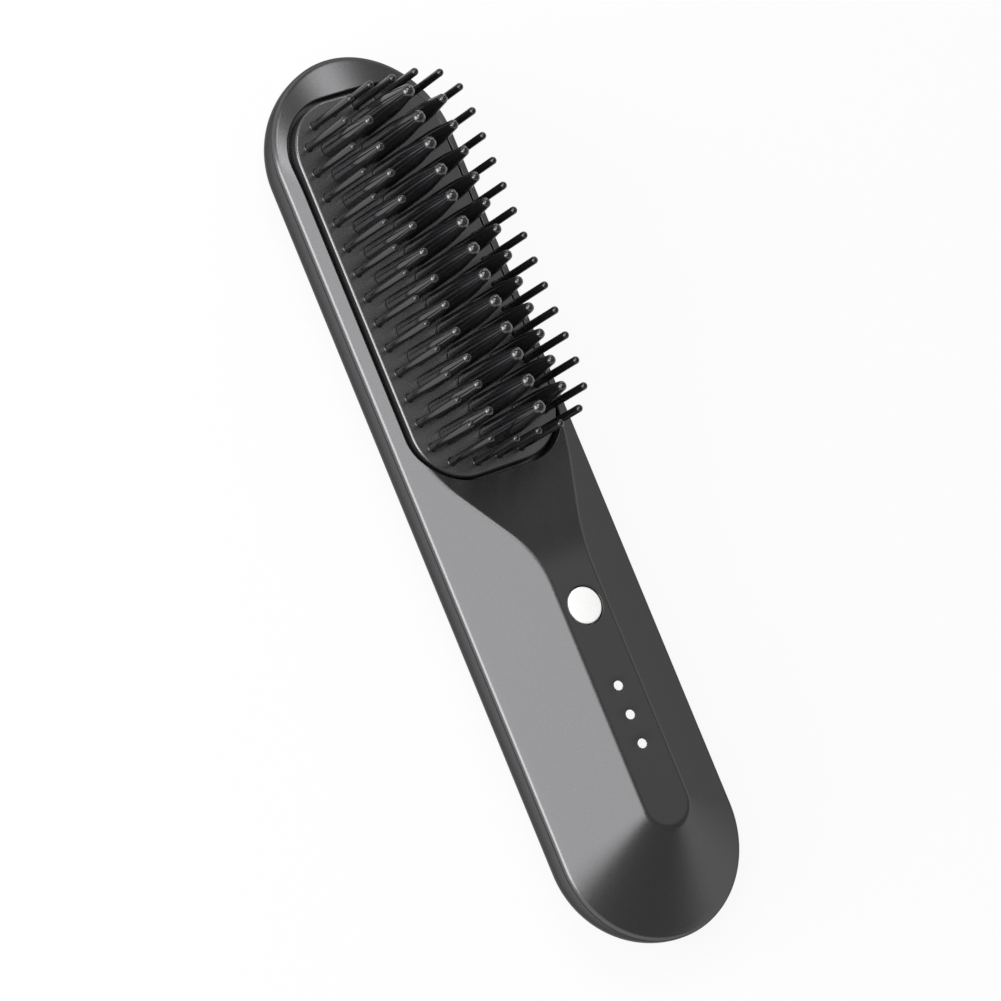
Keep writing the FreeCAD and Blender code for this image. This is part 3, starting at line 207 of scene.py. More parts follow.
# Gloss-moulded black nylon of the guard pins: near black, light only where the pale room is mirrored
combBlack = finishMaterial("glossMouldedBlackNylon", {
    "colours": ("#121213", "#18181a"),
    "rough": (0.16, 0.22),
    "grain": 0.6,
    "depth": 0.003,
    "shader": {"IOR": 1.6},
})

# Sprayed satin graphite coat on the nylon comb plate: dark where it mirrors the teeth, grey in the open
plateCoat = finishMaterial("satinGraphiteCoatOnNylon", {
    "colours": ("#686869", "#6f6f71"),
    "rough": (0.25, 0.31),
    "grain": 0.5,
    "depth": 0.001,
    "shader": {"Metallic": 0.85, "Specular Tint": (0.4, 0.4, 0.4, 1.0)},
})

# Fired black ceramic coat on the cast aluminium teeth: deep black body, tight bright streaks
toothBlack = finishMaterial("firedBlackCeramicCoatOnAluminium", {
    "colours": ("#1b1b1c", "#212123"),
    "rough": (0.10, 0.14),
    "grain": 0.9,
    "depth": 0.001,
    "shader": {"IOR": 1.76},
})

# Gloss-moulded white polycarbonate of the button: clean white, small gloss
buttonWhite = finishMaterial("glossMouldedWhitePolycarbonate", {
    "colours": ("#f8f8f6", "#fcfcfa"),
    "rough": (0.24, 0.28),
    "grain": 1.2,
    "depth": 0.001,
    "shader": {"IOR": 1.58},
})

# Frosted light pipe lit from below: white with a soft glow
lampWhite = finishMaterial("frostedAcrylicLightPipe", {
    "colours": ("#f0f0ee", "#f8f8f6"),
    "rough": (0.30, 0.40),
    "grain": 0.5,
    "depth": 0.003,
    "shader": {"IOR": 1.49, "Emission Color": (1.0, 1.0, 1.0, 1.0), "Emission Strength": 0.03},
})

# Finishes of the pieces inside, all by the same noise: name, colours, roughness, grain and depth in mm, and
# what the shader takes besides
innerFinishes = {
    "bare_aluminium": (
        "dieCastAluminium", ("#b4b6b8", "#c4c6c8"), (0.38, 0.52), 0.5, 0.010, {"Metallic": 1.0}),
    "heater_ceramic": (
        "sinteredAlumina", ("#e9e6df", "#f2f0ea"), (0.55, 0.70), 0.3, 0.008, {"IOR": 1.76}),
    "insulation_film": (
        "castPolyimideFilm", ("#a5661c", "#b8782a"), (0.18, 0.28), 1.5, 0.004, {"IOR": 1.70}),
    "spring_steel": (
        "rolledSpringSteel", ("#9a9a98", "#acacaa"), (0.26, 0.38), 0.4, 0.004, {"Metallic": 1.0}),
    "screw_steel": (
        "zincPlatedSteel", ("#8e9092", "#a2a4a6"), (0.28, 0.40), 0.3, 0.004, {"Metallic": 1.0}),
    "fibre_felt": (
        "pressedCeramicFelt", ("#dcd8cc", "#eeeade"), (0.88, 0.98), 0.5, 0.080, {}),
    "frame_plastic": (
        "glassFilledBlackNylon", ("#17181a", "#222326"), (0.48, 0.62), 0.4, 0.012, {"IOR": 1.53}),
    "sensor_body": (
        "dippedEpoxyBead", ("#3a2a22", "#483429"), (0.30, 0.42), 0.4, 0.006, {"IOR": 1.55}),
    "fuse_can": (
        "drawnBrassCan", ("#b89a5a", "#c8aa6a"), (0.24, 0.34), 0.6, 0.004, {"Metallic": 1.0}),
    "wire_red": (
        "extrudedRedSilicone", ("#a3201c", "#b52a24"), (0.42, 0.54), 0.5, 0.006, {"IOR": 1.42}),
    "wire_white": (
        "extrudedWhiteSilicone", ("#e4e3df", "#efeeea"), (0.42, 0.54), 0.5, 0.006, {"IOR": 1.42}),
    "cell_sleeve": (
        "shrunkPvcSleeve", ("#2d5f8e", "#376a9a"), (0.26, 0.36), 1.0, 0.006, {"IOR": 1.54}),
    "foam": (
        "closedCellFoam", ("#2a2a2b", "#3a3a3b"), (0.85, 0.96), 0.4, 0.060, {}),
    "nickel": (
        "rolledNickelStrip", ("#b6b2aa", "#c4c0b8"), (0.26, 0.36), 0.5, 0.004, {"Metallic": 1.0}),
    "board_green": (
        "solderMaskOnGlassEpoxy", ("#14532f", "#1a6038"), (0.28, 0.40), 0.6, 0.008, {"IOR": 1.55}),
    "chip_black": (
        "mouldedEpoxyPackage", ("#161617", "#212122"), (0.46, 0.60), 0.3, 0.008, {"IOR": 1.55}),
    "plug_white": (
        "mouldedWhiteNylon", ("#e6e2d6", "#efece2"), (0.40, 0.52), 0.5, 0.006, {"IOR": 1.53}),
    "capacitor_can": (
        "drawnAluminiumCan", ("#a9abae", "#babcc0"), (0.28, 0.40), 0.5, 0.004, {"Metallic": 1.0}),
    "lamp_chip": (
        "siliconeCastLampChip", ("#e8d36a", "#f0de82"), (0.24, 0.34), 0.3, 0.004, {"IOR": 1.42}),
    "socket_steel": (
        "stampedNickelPlatedSteel", ("#a4a4a2", "#b6b6b4"), (0.24, 0.34), 0.4, 0.004, {"Metallic": 1.0}),
}
slotMaterials = {
    "cover_coat": coverCoat,
    "comb_black": combBlack,
    "tooth_black": toothBlack,
    "button_white": buttonWhite,
    "lamp_white": lampWhite,
}
for slotName, (name, colours, rough, grain, depth, settings) in innerFinishes.items():
    slotMaterials[slotName] = finishMaterial(name, {
        "colours": colours, "rough": rough, "grain": grain, "depth": depth, "shader": settings})
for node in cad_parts.values():
    for index, held in enumerate(node.data.materials):
        if held and held.name.split(".")[0] in slotMaterials:
            node.data.materials[index] = slotMaterials[held.name.split(".")[0]]
print("materials made", len(slotMaterials))

# Front cover

coverValues = {
    "rimRound": 1.3,
    "edgeRound": 0.3,
    "creaseBlend": 0.35,
    "deckLevel": 16.3,
    "rampTop": plateCentre - bodyForm["openingHalfLength"] - bodyForm["rampRun"],
    "rampAngle": np.radians(19.0),
    "rampLowRadius": 52.0,
    "rampHighRadius": 38.5,
    "flatMargin": 1.0,
    "lipInset": 1.2,
    "buttonPlace": -26.162,
    "buttonHole": 3.9,
    "lampPlaces": (-42.792, -48.752, -54.712),
    "lampHole": 1.0,
    "holeRound": 0.12,
    "holeDepth": 1.6,
    "lampReach": 2.4,
    "meetTurns": (40.0, 89.0),
    "halvings": 60,
    "stationStep": 0.6,
    "slopeProbe": 0.01,
    "nearReach": 2.5,
    "wedgeSteps": 24,
    "wedgeColumns": 8,
    "tipSteps": 40,
    "sideSteps": 100,
    "headSteps": 72,
    "rimSteps": 8,
    "facetSteps": 14,
    "flatColumns": 10,
    "windowSteps": 40,
    "holeSteps": 5,
    "edgeSteps": 6,
}
rimLevel = bodyForm["rimLevel"]
stripLevel = rimLevel + bodyForm["ridgeRise"]
halfWidth = bodyForm["halfWidth"]
facetRun = halfWidth - bodyForm["ridgeHalfWidth"]
facetSlope = bodyForm["ridgeRise"] / facetRun
headRim = bodyForm["headEnd"] - halfWidth
headRidge = bodyForm["headEnd"] - bodyForm["headSlopeRun"]
handleRim = bodyForm["handleEnd"] + halfWidth
handleRidge = bodyForm["handleEnd"] + bodyForm["ridgeTail"]

# Shares of the narrow band beside a crease, closest together at the crease
creaseShares = np.array([0, 0.1, 0.2, 0.32, 0.45, 0.6, 0.78, 1.0])

# Steps of the rounded rectangle about the plate: each long side, each corner, half of each end
outlineSteps = {"side": 60, "corner": 24, "end": 12}


# Height of the lengthwise profile: strip, round over, straight slope, hollow round, deck
def rampHeight(y):
    high, low = coverValues["rampHighRadius"], coverValues["rampLowRadius"]
    angle, deck = coverValues["rampAngle"], coverValues["deckLevel"]
    fallHigh, fallLow = high * (1 - np.cos(angle)), low * (1 - np.cos(angle))
    slopeRun = (stripLevel - deck - fallHigh - fallLow) / np.tan(angle)
    along = np.asarray(y) - coverValues["rampTop"]
    slopeStart = high * np.sin(angle)
    lowStart = slopeStart + slopeRun
    foot = lowStart + low * np.sin(angle)
    upper = stripLevel - high + np.sqrt(np.maximum(high ** 2 - np.clip(along, 0, slopeStart) ** 2, 0))
    middle = stripLevel - fallHigh - (along - slopeStart) * np.tan(angle)
    lower = deck + low - np.sqrt(low ** 2 - np.clip(foot - along, 0, low * np.sin(angle)) ** 2)
    return np.where(along < slopeStart, upper, np.where(along < lowStart, middle, lower))


# Share of the rise at one end, where each level is a half circle whose centre and radius change evenly:
# the smaller positive root of x^2 + (y - centre)^2 = radius^2 for the share
def endShare(x, y, rimCentre, ridgeCentre):
    shift = ridgeCentre - rimCentre
    along = y - rimCentre
    a = shift ** 2 - facetRun ** 2
    b = 2 * (halfWidth * facetRun - along * shift)
    c = x ** 2 + along ** 2 - halfWidth ** 2
    return (-b + np.sqrt(np.maximum(b ** 2 - 4 * a * c, 0))) / (2 * a)


# Height of the side facets: a plane at each side, an oblique cone at each end
def facetHeight(x, y):
    side = (halfWidth - np.abs(x)) / facetRun
    head = y > headRim + side * (headRidge - headRim)
    handle = y < handleRim + side * (handleRidge - handleRim)
    share = np.where(head, endShare(x, y, headRim, headRidge),
                     np.where(handle, endShare(x, y, handleRim, handleRidge), side))
    return rimLevel + bodyForm["ridgeRise"] * share


# Height of the cover: the lower of facets and profile, blended smoothly over a narrow band
def coverHeight(x, y):
    first, second = facetHeight(x, y), rampHeight(y)
    blend = coverValues["creaseBlend"]
    share = np.clip(0.5 + 0.5 * (second - first) / blend, 0, 1)
    return second + (first - second) * share - blend * share * (1 - share)


# Points of plan places with the cover's height
def onCover(x, y):
    return np.stack([x, y, coverHeight(x, y)], -1)


# Half of a rounded rectangle's outline about the plate centre, from the handle side round to the head
# side at x >= 0; returns places and outward directions
def plateOutline(halfX, halfY, corner):
    sideCount, cornerCount, endCount = outlineSteps["side"], outlineSteps["corner"], outlineSteps["end"]
    turn = np.linspace(-np.pi / 2, 0, cornerCount + 1)
    turnUp = np.linspace(0, np.pi / 2, cornerCount + 1)
    x = np.concatenate([np.linspace(0, halfX - corner, endCount, endpoint=False),
                        halfX - corner + corner * np.cos(turn),
                        np.full(sideCount - 1, halfX),
                        halfX - corner + corner * np.cos(turnUp),
                        np.linspace(halfX - corner, 0, endCount + 1)[1:]])
    side = np.linspace(corner - halfY, halfY - corner, sideCount + 1)[1:-1]
    y = np.concatenate([np.full(endCount, -halfY), corner - halfY + corner * np.sin(turn), side,
                        halfY - corner + corner * np.sin(turnUp), np.full(endCount, halfY)])
    normalX = np.concatenate([np.zeros(endCount), np.cos(turn), np.ones(sideCount - 1), np.cos(turnUp),
                              np.zeros(endCount)])
    normalY = np.concatenate([-np.ones(endCount), np.sin(turn), np.zeros(sideCount - 1), np.sin(turnUp),
                              np.ones(endCount)])
    return x, plateCentre + y, normalX, normalY


# Crease of the side facet: the place across where the facet plane meets the profile
def creaseAcross(y):
    return halfWidth - (rampHeight(y) - rimLevel) / facetSlope


outset = coverValues["edgeRound"]
cornerRadius = bodyForm["openingCorner"] + outset
cornerX = bodyForm["openingHalfWidth"] - bodyForm["openingCorner"]
lowCornerY = plateCentre - bodyForm["openingHalfLength"] + bodyForm["openingCorner"]
highCornerY = plateCentre + bodyForm["openingHalfLength"] - bodyForm["openingCorner"]

# Where the opening's edge meets the crease, by halving the turn about the corner's centre
low, high = np.radians(coverValues["meetTurns"])
for step in range(coverValues["halvings"]):
    middle = (low + high) / 2
    if cornerX + cornerRadius * np.sin(middle) < creaseAcross(lowCornerY - cornerRadius * np.cos(middle)):
        low = middle
    else:
        high = middle
meetTurn = low
meetY = lowCornerY - cornerRadius * np.cos(meetTurn)

# Lengthwise stations of the handle part, from the meeting place to the ridge's end circle
buttonReach = bodyForm["ridgeHalfWidth"] - coverValues["flatMargin"]
buttonPlace, lampReach = coverValues["buttonPlace"], coverValues["lampReach"]
wedgeTurn = np.linspace(meetTurn, 0, coverValues["wedgeSteps"] + 1)
wedgeY = lowCornerY - cornerRadius * np.cos(wedgeTurn)
breaks = [lowCornerY - cornerRadius, coverValues["rampTop"],
          buttonPlace + buttonReach, buttonPlace - buttonReach]
for place in coverValues["lampPlaces"]:
    breaks += [place + lampReach, place - lampReach]
breaks.append(handleRidge)
stations = [wedgeY]
for first, last in zip(breaks[:-1], breaks[1:]):
    count = max(int(np.ceil((first - last) / coverValues["stationStep"])), 1)
    stations.append(np.linspace(first, last, count + 1)[1:])
spineY = np.concatenate(stations)
tipTurn = np.linspace(0, -np.pi / 2, coverValues["tipSteps"] + 1)[1:]

innerX = np.concatenate([creaseAcross(spineY), bodyForm["ridgeHalfWidth"] * np.cos(tipTurn)])
innerY = np.concatenate([spineY, handleRidge + bodyForm["ridgeHalfWidth"] * np.sin(tipTurn)])
spineOut = meetY + (spineY - meetY) * (handleRim - meetY) / (handleRidge - meetY)
handleOuterX = np.concatenate([np.full(len(spineY), halfWidth), halfWidth * np.cos(tipTurn)])
handleOuterY = np.concatenate([spineOut, handleRim + halfWidth * np.sin(tipTurn)])
handleNormal = np.stack([handleOuterX / halfWidth,
                         np.where(handleOuterY < handleRim, (handleOuterY - handleRim) / halfWidth, 0)], -1)

# The head part: the straight side to the rim's end circle, then rays from that circle's centre
sideY = np.linspace(meetY, headRim, coverValues["sideSteps"] + 1)
lowTurn = np.arccos(np.clip((lowCornerY - sideY) / cornerRadius, -1, 1))
sideInnerX = np.where(sideY < lowCornerY, cornerX + cornerRadius * np.sin(lowTurn), cornerX + cornerRadius)
headTurn = np.linspace(0, np.pi / 2, coverValues["headSteps"] + 1)[1:]
rayX, rayY = np.cos(headTurn), np.sin(headTurn)
offsetX, offsetY = cornerX, highCornerY - headRim
onSide = (cornerX + cornerRadius) / np.maximum(rayX, tiny)
onEnd = (offsetY + cornerRadius) / rayY
towards = rayX * offsetX + rayY * offsetY
onArc = towards + np.sqrt(np.maximum(towards ** 2 - offsetX ** 2 - offsetY ** 2 + cornerRadius ** 2, 0))
reach = np.where(onSide * rayY <= offsetY, onSide, np.where(onEnd * rayX <= offsetX, onEnd, onArc))
headInnerX = np.concatenate([sideInnerX, reach * rayX])
headInnerY = np.concatenate([sideY, headRim + reach * rayY])
headOuterX = np.concatenate([np.full(len(sideY), halfWidth), halfWidth * rayX])
headOuterY = np.concatenate([sideY, headRim + halfWidth * rayY])
headNormal = np.stack([headOuterX / halfWidth,
                       np.where(headOuterY > headRim, (headOuterY - headRim) / halfWidth, 0)], -1)


# Ring from the split up the skirt, over the rim's round and along the facet to an inner line
def coverRing(outerX, outerY, normal, endX, endY):
    radius, probe = coverValues["rimRound"], coverValues["slopeProbe"]
    slope = np.arctan((facetHeight(outerX - probe * normal[:, 0], outerY - probe * normal[:, 1])
                       - rimLevel) / probe)[:, None]
    centre = rimLevel + (radius - radius * np.sin(slope)) * np.tan(slope) - radius * np.cos(slope)
    arc = np.linspace(0, 1, coverValues["rimSteps"] + 1)[None, :] * (np.pi / 2 - slope)
    split = bodyForm["splitLevel"]
    base = np.array([[coverValues["lipInset"], split], [0, split]])
    count = len(outerX)
    inset = np.concatenate([np.tile(base[:, 0], (count, 1)), radius * (1 - np.cos(arc))], 1)
    height = np.concatenate([np.tile(base[:, 1], (count, 1)), centre + radius * np.sin(arc)], 1)
    skirt = np.stack([outerX[:, None] - inset * normal[:, :1], outerY[:, None] - inset * normal[:, 1:],
                      height], -1)
    startX, startY = skirt[:, -1, 0], skirt[:, -1, 1]
    length = np.hypot(endX - startX, endY - startY)[:, None]
    near = creaseShares[::-1][None, :] * np.minimum(1, length / coverValues["nearReach"])
    even = np.linspace(0, 1, coverValues["facetSteps"] + 1)[None, 1:-1] * (length - near[:, :1])
    along = np.concatenate([even, length - near], 1) / length
    x = startX[:, None] + (endX - startX)[:, None] * along
    y = startY[:, None] + (endY - startY)[:, None] * along
    return np.concatenate([skirt, onCover(x, y)], 1)


# Grid between two lines of plan places, with the cover's height
def coverBand(firstX, firstY, lastX, lastY, shares):
    share = np.asarray(shares)[None, :]
    x = firstX[:, None] + (lastX - firstX)[:, None] * share
    y = firstY[:, None] + (lastY - firstY)[:, None] * share
    return onCover(x, y)


# Right half of a flat window about a round hole: rays from the hole's rounded edge to a rectangle
def holeWindow(centreY, radius, reachX, reachY):
    corner = np.arctan2(reachY, reachX)
    even = np.linspace(-np.pi / 2, np.pi / 2, coverValues["windowSteps"] + 1)
    turn = np.unique(np.concatenate([even, [corner, -corner]]).round(9))
    cosine, sine = np.cos(turn), np.sin(turn)
    toEdge = np.minimum(reachX / np.maximum(np.abs(cosine), tiny), reachY / np.maximum(np.abs(sine), tiny))
    edge = coverValues["holeRound"]
    arc = np.linspace(0, np.pi / 2, coverValues["holeSteps"] + 1)
    rounded = radius + edge * (1 - np.cos(arc))
    height = stripLevel - edge * (1 - np.sin(arc))
    wall = np.array([[radius, stripLevel - coverValues["holeDepth"]]])
    profile = np.concatenate([wall, np.stack([rounded, height], -1)])
    ring = np.concatenate([np.tile(profile[:, 0], (len(turn), 1)), toEdge[:, None]], 1)
    level = np.append(profile[:, 1], stripLevel)
    return np.stack([ring * cosine[:, None], centreY + ring * sine[:, None],
                     np.zeros(ring.shape) + level], -1)


stripInnerX = np.concatenate([innerX[:len(spineY)] - coverValues["flatMargin"],
                              buttonReach * np.cos(tipTurn)])
stripInnerY = np.concatenate([spineY, handleRidge + buttonReach * np.sin(tipTurn)])
wedgeEdgeX = cornerX + cornerRadius * np.sin(wedgeTurn)
wedgeInnerX = np.maximum(stripInnerX[:len(wedgeY)], wedgeEdgeX)
stripInnerX[:len(wedgeY)] = wedgeInnerX
wedgeShares = np.linspace(0, 1, coverValues["wedgeColumns"] + 1)
coverParts = [
    patch(coverRing(handleOuterX, handleOuterY, handleNormal, innerX, innerY), flip=True),
    patch(coverRing(headOuterX, headOuterY, headNormal, headInnerX, headInnerY)),
    patch(coverBand(innerX, innerY, stripInnerX, stripInnerY, creaseShares), flip=True),
    patch(coverBand(wedgeInnerX, wedgeY, wedgeEdgeX, wedgeY, wedgeShares), flip=True),
]


# Rows of the flat middle, from the strip's inner line to the middle line
def middleRows(rows):
    x, y = stripInnerX[rows], stripInnerY[rows]
    return patch(coverBand(x, y, 0 * x, y, np.linspace(0, 1, coverValues["flatColumns"] + 1)), flip=True)


# The flat middle, row by row, left open where the button and the lamps have their windows
windows = [(buttonPlace, buttonReach, coverValues["buttonHole"])]
windows += [(place, lampReach, coverValues["lampHole"]) for place in coverValues["lampPlaces"]]
rowStart = len(wedgeY) - 1
for place, reachY, radius in windows:
    top = int(np.argmin(np.abs(spineY - place - reachY)))
    coverParts.append(middleRows(slice(rowStart, top + 1)))
    coverParts.append(patch(holeWindow(place, radius, buttonReach, reachY), flip=True))
    rowStart = int(np.argmin(np.abs(spineY - place + reachY)))
coverParts.append(middleRows(slice(rowStart, None)))

# The opening's edge: a quarter round from the cover's surface, then a wall down to the split
edgeX, edgeY, edgeNormalX, edgeNormalY = plateOutline(
    bodyForm["openingHalfWidth"], bodyForm["openingHalfLength"], bodyForm["openingCorner"])
topLevel = coverHeight(edgeX + outset * edgeNormalX, edgeY + outset * edgeNormalY)[:, None]
arc = np.linspace(0, np.pi / 2, coverValues["edgeSteps"] + 1)[None, :]
push = np.concatenate([outset * (1 - np.sin(arc)), [[0.0]]], 1)
drop = topLevel - outset * (1 - np.cos(arc))
level = np.concatenate([drop, np.full((len(edgeX), 1), bodyForm["splitLevel"])], 1)
coverParts.append(patch(np.stack([edgeX[:, None] + push * edgeNormalX[:, None],
                                  edgeY[:, None] + push * edgeNormalY[:, None], level], -1)))
frontCover = makePiece("frontCover", coverParts + [mirrored(part) for part in coverParts], coverCoat,
                       "brush", ["front_cover"])
print("front cover", len(frontCover.data.polygons), "faces")

# Back cover

backValues = {
    "largeRound": 13.0,
    "lipInset": 1.2,
    "lipPoints": 2,
    "screwPlaces": ((5.0, -5.512), (5.0, -68.2)),
    "screwHole": 2.0,
    "screwDepth": 2.2,
    "screwReach": 3.0,
    "recessInner": 1.0,
    "recessBreak": 0.1,
    "slotHalfWidth": 4.67,
    "slotHalfHeight": 1.8,
    "slotLevel": 9.0,
    "slotDepth": 1.8,
    "endSteps": 96,
    "sideSteps": 60,
    "roundSteps": 24,
    "slotSteps": 15,
    "slotRows": 10,
    "windowSteps": 6,
    "recessSteps": 48,
    "flatColumns": 8,
    "handleRows": 20,
    "headRows": 40,
}


# Profile of the back cover's side: inset and height from the seam's lip down to the flat back
def backProfile():
    radius = backValues["largeRound"]
    top = bodyForm["splitLevel"] - bodyForm["seam"]
    turn = np.linspace(0, np.pi / 2, backValues["roundSteps"] + 1)
    start = np.array([[backValues["lipInset"], top], [0, top]])
    arc = np.stack([radius * (1 - np.cos(turn)), radius * (1 - np.sin(turn))], -1)
    return np.concatenate([start, arc])


# Closed outline of two half circles and two straight sides: centres along y and outward directions
def stadiumOutline(endSteps, sideSteps):
    side = np.linspace(0, 1, sideSteps + 1)[1:-1]
    straight = handleRim + (headRim - handleRim) * side
    lowTurn, highTurn = np.linspace(-np.pi, 0, endSteps + 1), np.linspace(0, np.pi, endSteps + 1)
    normalX = np.concatenate([np.cos(lowTurn), np.ones(len(side)), np.cos(highTurn), -np.ones(len(side))])
    normalY = np.concatenate([np.sin(lowTurn), np.zeros(len(side)), np.sin(highTurn), np.zeros(len(side))])
    centre = np.concatenate([np.full(endSteps + 1, handleRim), straight, np.full(endSteps + 1, headRim),
                             straight[::-1]])
    return centre, normalX, normalY


profile = backProfile()
centre, normalX, normalY = stadiumOutline(backValues["endSteps"], backValues["sideSteps"])
radius = halfWidth - profile[:, 0]
sideRing = np.stack([normalX[:, None] * radius, centre[:, None] + normalY[:, None] * radius,
                     np.zeros((len(centre), 1)) + profile[:, 1]], -1)
middleStep = backValues["endSteps"] // 2
skipRows = (middleStep - backValues["slotSteps"], middleStep + backValues["slotSteps"])
skipLevels = (backValues["lipPoints"], backValues["lipPoints"] + backValues["slotRows"])
backParts = [patch(sideRing, flip=True, closed=True, skip=skipRows + skipLevels)]

# Window with the socket's slot: from a racetrack outline to a rectangle of turn and profile step
outerTurn = np.linspace(-1, 1, 2 * backValues["slotSteps"] + 1)
edgeCount = backValues["slotRows"]
upright = np.linspace(-1, 1, edgeCount + 1)
frameU = np.concatenate([outerTurn, np.ones(edgeCount - 1), outerTurn[::-1], -np.ones(edgeCount - 1)])
frameV = np.concatenate([-np.ones(len(outerTurn)), upright[1:-1], np.ones(len(outerTurn)), -upright[1:-1]])
stepTurn = np.pi / backValues["endSteps"]
frameTurn = frameU * backValues["slotSteps"] * stepTurn
rowTurn = (frameV + 1) / 2 * edgeCount * (np.pi / 2 / backValues["roundSteps"])
frameLevel = backValues["largeRound"] * (1 - np.sin(rowTurn))
slotHalfWidth, slotHalfHeight = backValues["slotHalfWidth"], backValues["slotHalfHeight"]
slotFlat = slotHalfWidth - slotHalfHeight
aim = np.arctan2(-frameV * slotHalfHeight, frameU * slotHalfWidth)
rayX, rayZ = np.cos(aim), np.sin(aim)
toFlat = slotHalfHeight / np.maximum(np.abs(rayZ), tiny)
toRound = np.abs(rayX) * slotFlat + np.sqrt(np.maximum(
    (rayX * slotFlat) ** 2 - slotFlat ** 2 + slotHalfHeight ** 2, 0))
slotReach = np.where(toFlat * np.abs(rayX) <= slotFlat, toFlat, toRound)
slotX, slotLevel = slotReach * rayX, backValues["slotLevel"] + slotReach * rayZ


# Radius of the handle end at a height of the large round
def endRadius(level):
    large = backValues["largeRound"]
    return halfWidth - large + np.sqrt(np.maximum(large ** 2 - (large - level) ** 2, 0))


slotTurn = np.arcsin(slotX / endRadius(slotLevel))
share = np.linspace(0, 1, backValues["windowSteps"] + 1)[None, :]
windowTurn = slotTurn[:, None] + (frameTurn - slotTurn)[:, None] * share
windowLevel = slotLevel[:, None] + (frameLevel - slotLevel)[:, None] * share
windowRadius = endRadius(windowLevel)
window = np.stack([windowRadius * np.sin(windowTurn), handleRim - windowRadius * np.cos(windowTurn),
                   windowLevel], -1)
inner = window[:, :1] + np.array([0, backValues["slotDepth"], 0])
backParts.append(patch(np.concatenate([inner, window], 1), closed=True))

# Flat back: rows across between the large rounds, with the screw recesses' windows left open
flatRadius = halfWidth - backValues["largeRound"]
flatShares = np.linspace(0, 1, backValues["flatColumns"] + 1)[None, :]


# Right half of the flat back between two lengthwise places
def flatRows(first, last, count):
    y = np.linspace(first, last, count + 1)[:, None]
    x = flatRadius * flatShares
    return np.stack([x + 0 * y, y + 0 * x, 0 * (x + y)], -1)


# Window of the flat back about a round recess: rays from the recess to a rectangle's edge
def recessWindow(centreX, centreY):
    reachY = backValues["screwReach"]
    corners = [np.arctan2(v, u) for u in (flatRadius - centreX, -centreX) for v in (reachY, -reachY)]
    even = np.linspace(-np.pi, np.pi, backValues["recessSteps"] + 1)[1:]
    turn = np.unique(np.concatenate([even, corners]).round(9))
    cosine, sine = np.cos(turn), np.sin(turn)
    toSide = np.where(cosine > 0, flatRadius - centreX, centreX) / np.maximum(np.abs(cosine), tiny)
    toEdge = np.minimum(toSide, reachY / np.maximum(np.abs(sine), tiny))
    hole, edgeBreak, deep = backValues["screwHole"], backValues["recessBreak"], backValues["screwDepth"]
    rings = [backValues["recessInner"], hole, hole, hole + edgeBreak, hole + 2 * edgeBreak]
    ring = np.concatenate([np.tile(rings, (len(turn), 1)), toEdge[:, None]], 1)
    depth = np.array([deep, deep, edgeBreak, 0.0, 0.0, 0.0])
    return np.stack([centreX + ring * cosine[:, None], centreY + ring * sine[:, None],
                     np.zeros(ring.shape) + depth], -1)


halfBack = []
mark = handleRim
for centreX, centreY in sorted(backValues["screwPlaces"], key=lambda place: place[1]):
    halfBack.append(patch(flatRows(mark, centreY - backValues["screwReach"], backValues["handleRows"])))
    halfBack.append(patch(recessWindow(centreX, centreY), closed=True))
    mark = centreY + backValues["screwReach"]
halfBack.append(patch(flatRows(mark, headRim, backValues["headRows"])))
for rim, sign in ((handleRim, -1), (headRim, 1)):
    turn = np.linspace(0, np.pi / 2, backValues["endSteps"] // 2 + 1)[:, None]
    across = np.cos(turn) * flatRadius * flatShares
    halfBack.append(patch(np.stack([across, rim + sign * np.sin(turn) * flatRadius + 0 * across,
                                    0 * across], -1), flip=sign < 0))
backParts += halfBack + [mirrored(part) for part in halfBack]
backCover = makePiece("backCover", backParts, coverCoat, "brush", ["back_cover"])
print("back cover", len(backCover.data.polygons), "faces")

# Comb plate

plateValues = {
    "halfWidth": 16.85,
    "halfLength": 39.362,
    "corner": 11.05,
    "flange": 1.55,
    "flangeTop": 13.4,
    "top": 16.85,
    "edgeRound": 0.5,
    "bottom": 12.2,
    "roundSteps": 8,
    "faceColumns": 12,
}
plateX, plateY, plateNormalX, plateNormalY = plateOutline(
    plateValues["halfWidth"], plateValues["halfLength"], plateValues["corner"])
arc = np.linspace(0, np.pi / 2, plateValues["roundSteps"] + 1)
edge, plateTop = plateValues["edgeRound"], plateValues["top"]
flange, flangeTop = plateValues["flange"], plateValues["flangeTop"]
plateProfile = np.concatenate([
    [[flange, plateValues["bottom"]], [flange, flangeTop], [0.0, flangeTop]],
    np.stack([-edge * (1 - np.cos(arc)), plateTop - edge * (1 - np.sin(arc))], -1),
])
plateRing = np.stack([plateX[:, None] + plateProfile[:, 0] * plateNormalX[:, None],
                      plateY[:, None] + plateProfile[:, 0] * plateNormalY[:, None],
                      np.zeros((len(plateX), 1)) + plateProfile[:, 1]], -1)
topShare = np.linspace(1, 0, plateValues["faceColumns"] + 1)[None, :, None]


# Half of a flat face of the plate: each outline point carried across to the middle line
def plateFace(column):
    endCount = outlineSteps["end"]
    edgeLine = plateRing[endCount:-endCount, column, None, :]
    return edgeLine * np.array([1, 0, 0]) * topShare + edgeLine * np.array([0, 1, 1])


plateParts = [patch(plateRing), patch(plateFace(-1)), patch(plateFace(0), flip=True)]
combPlate = makePiece("combPlate", plateParts + [mirrored(part) for part in plateParts], plateCoat,
                      "brush", ["comb_plate"])
print("comb plate", len(combPlate.data.polygons), "faces")

# Guard pins

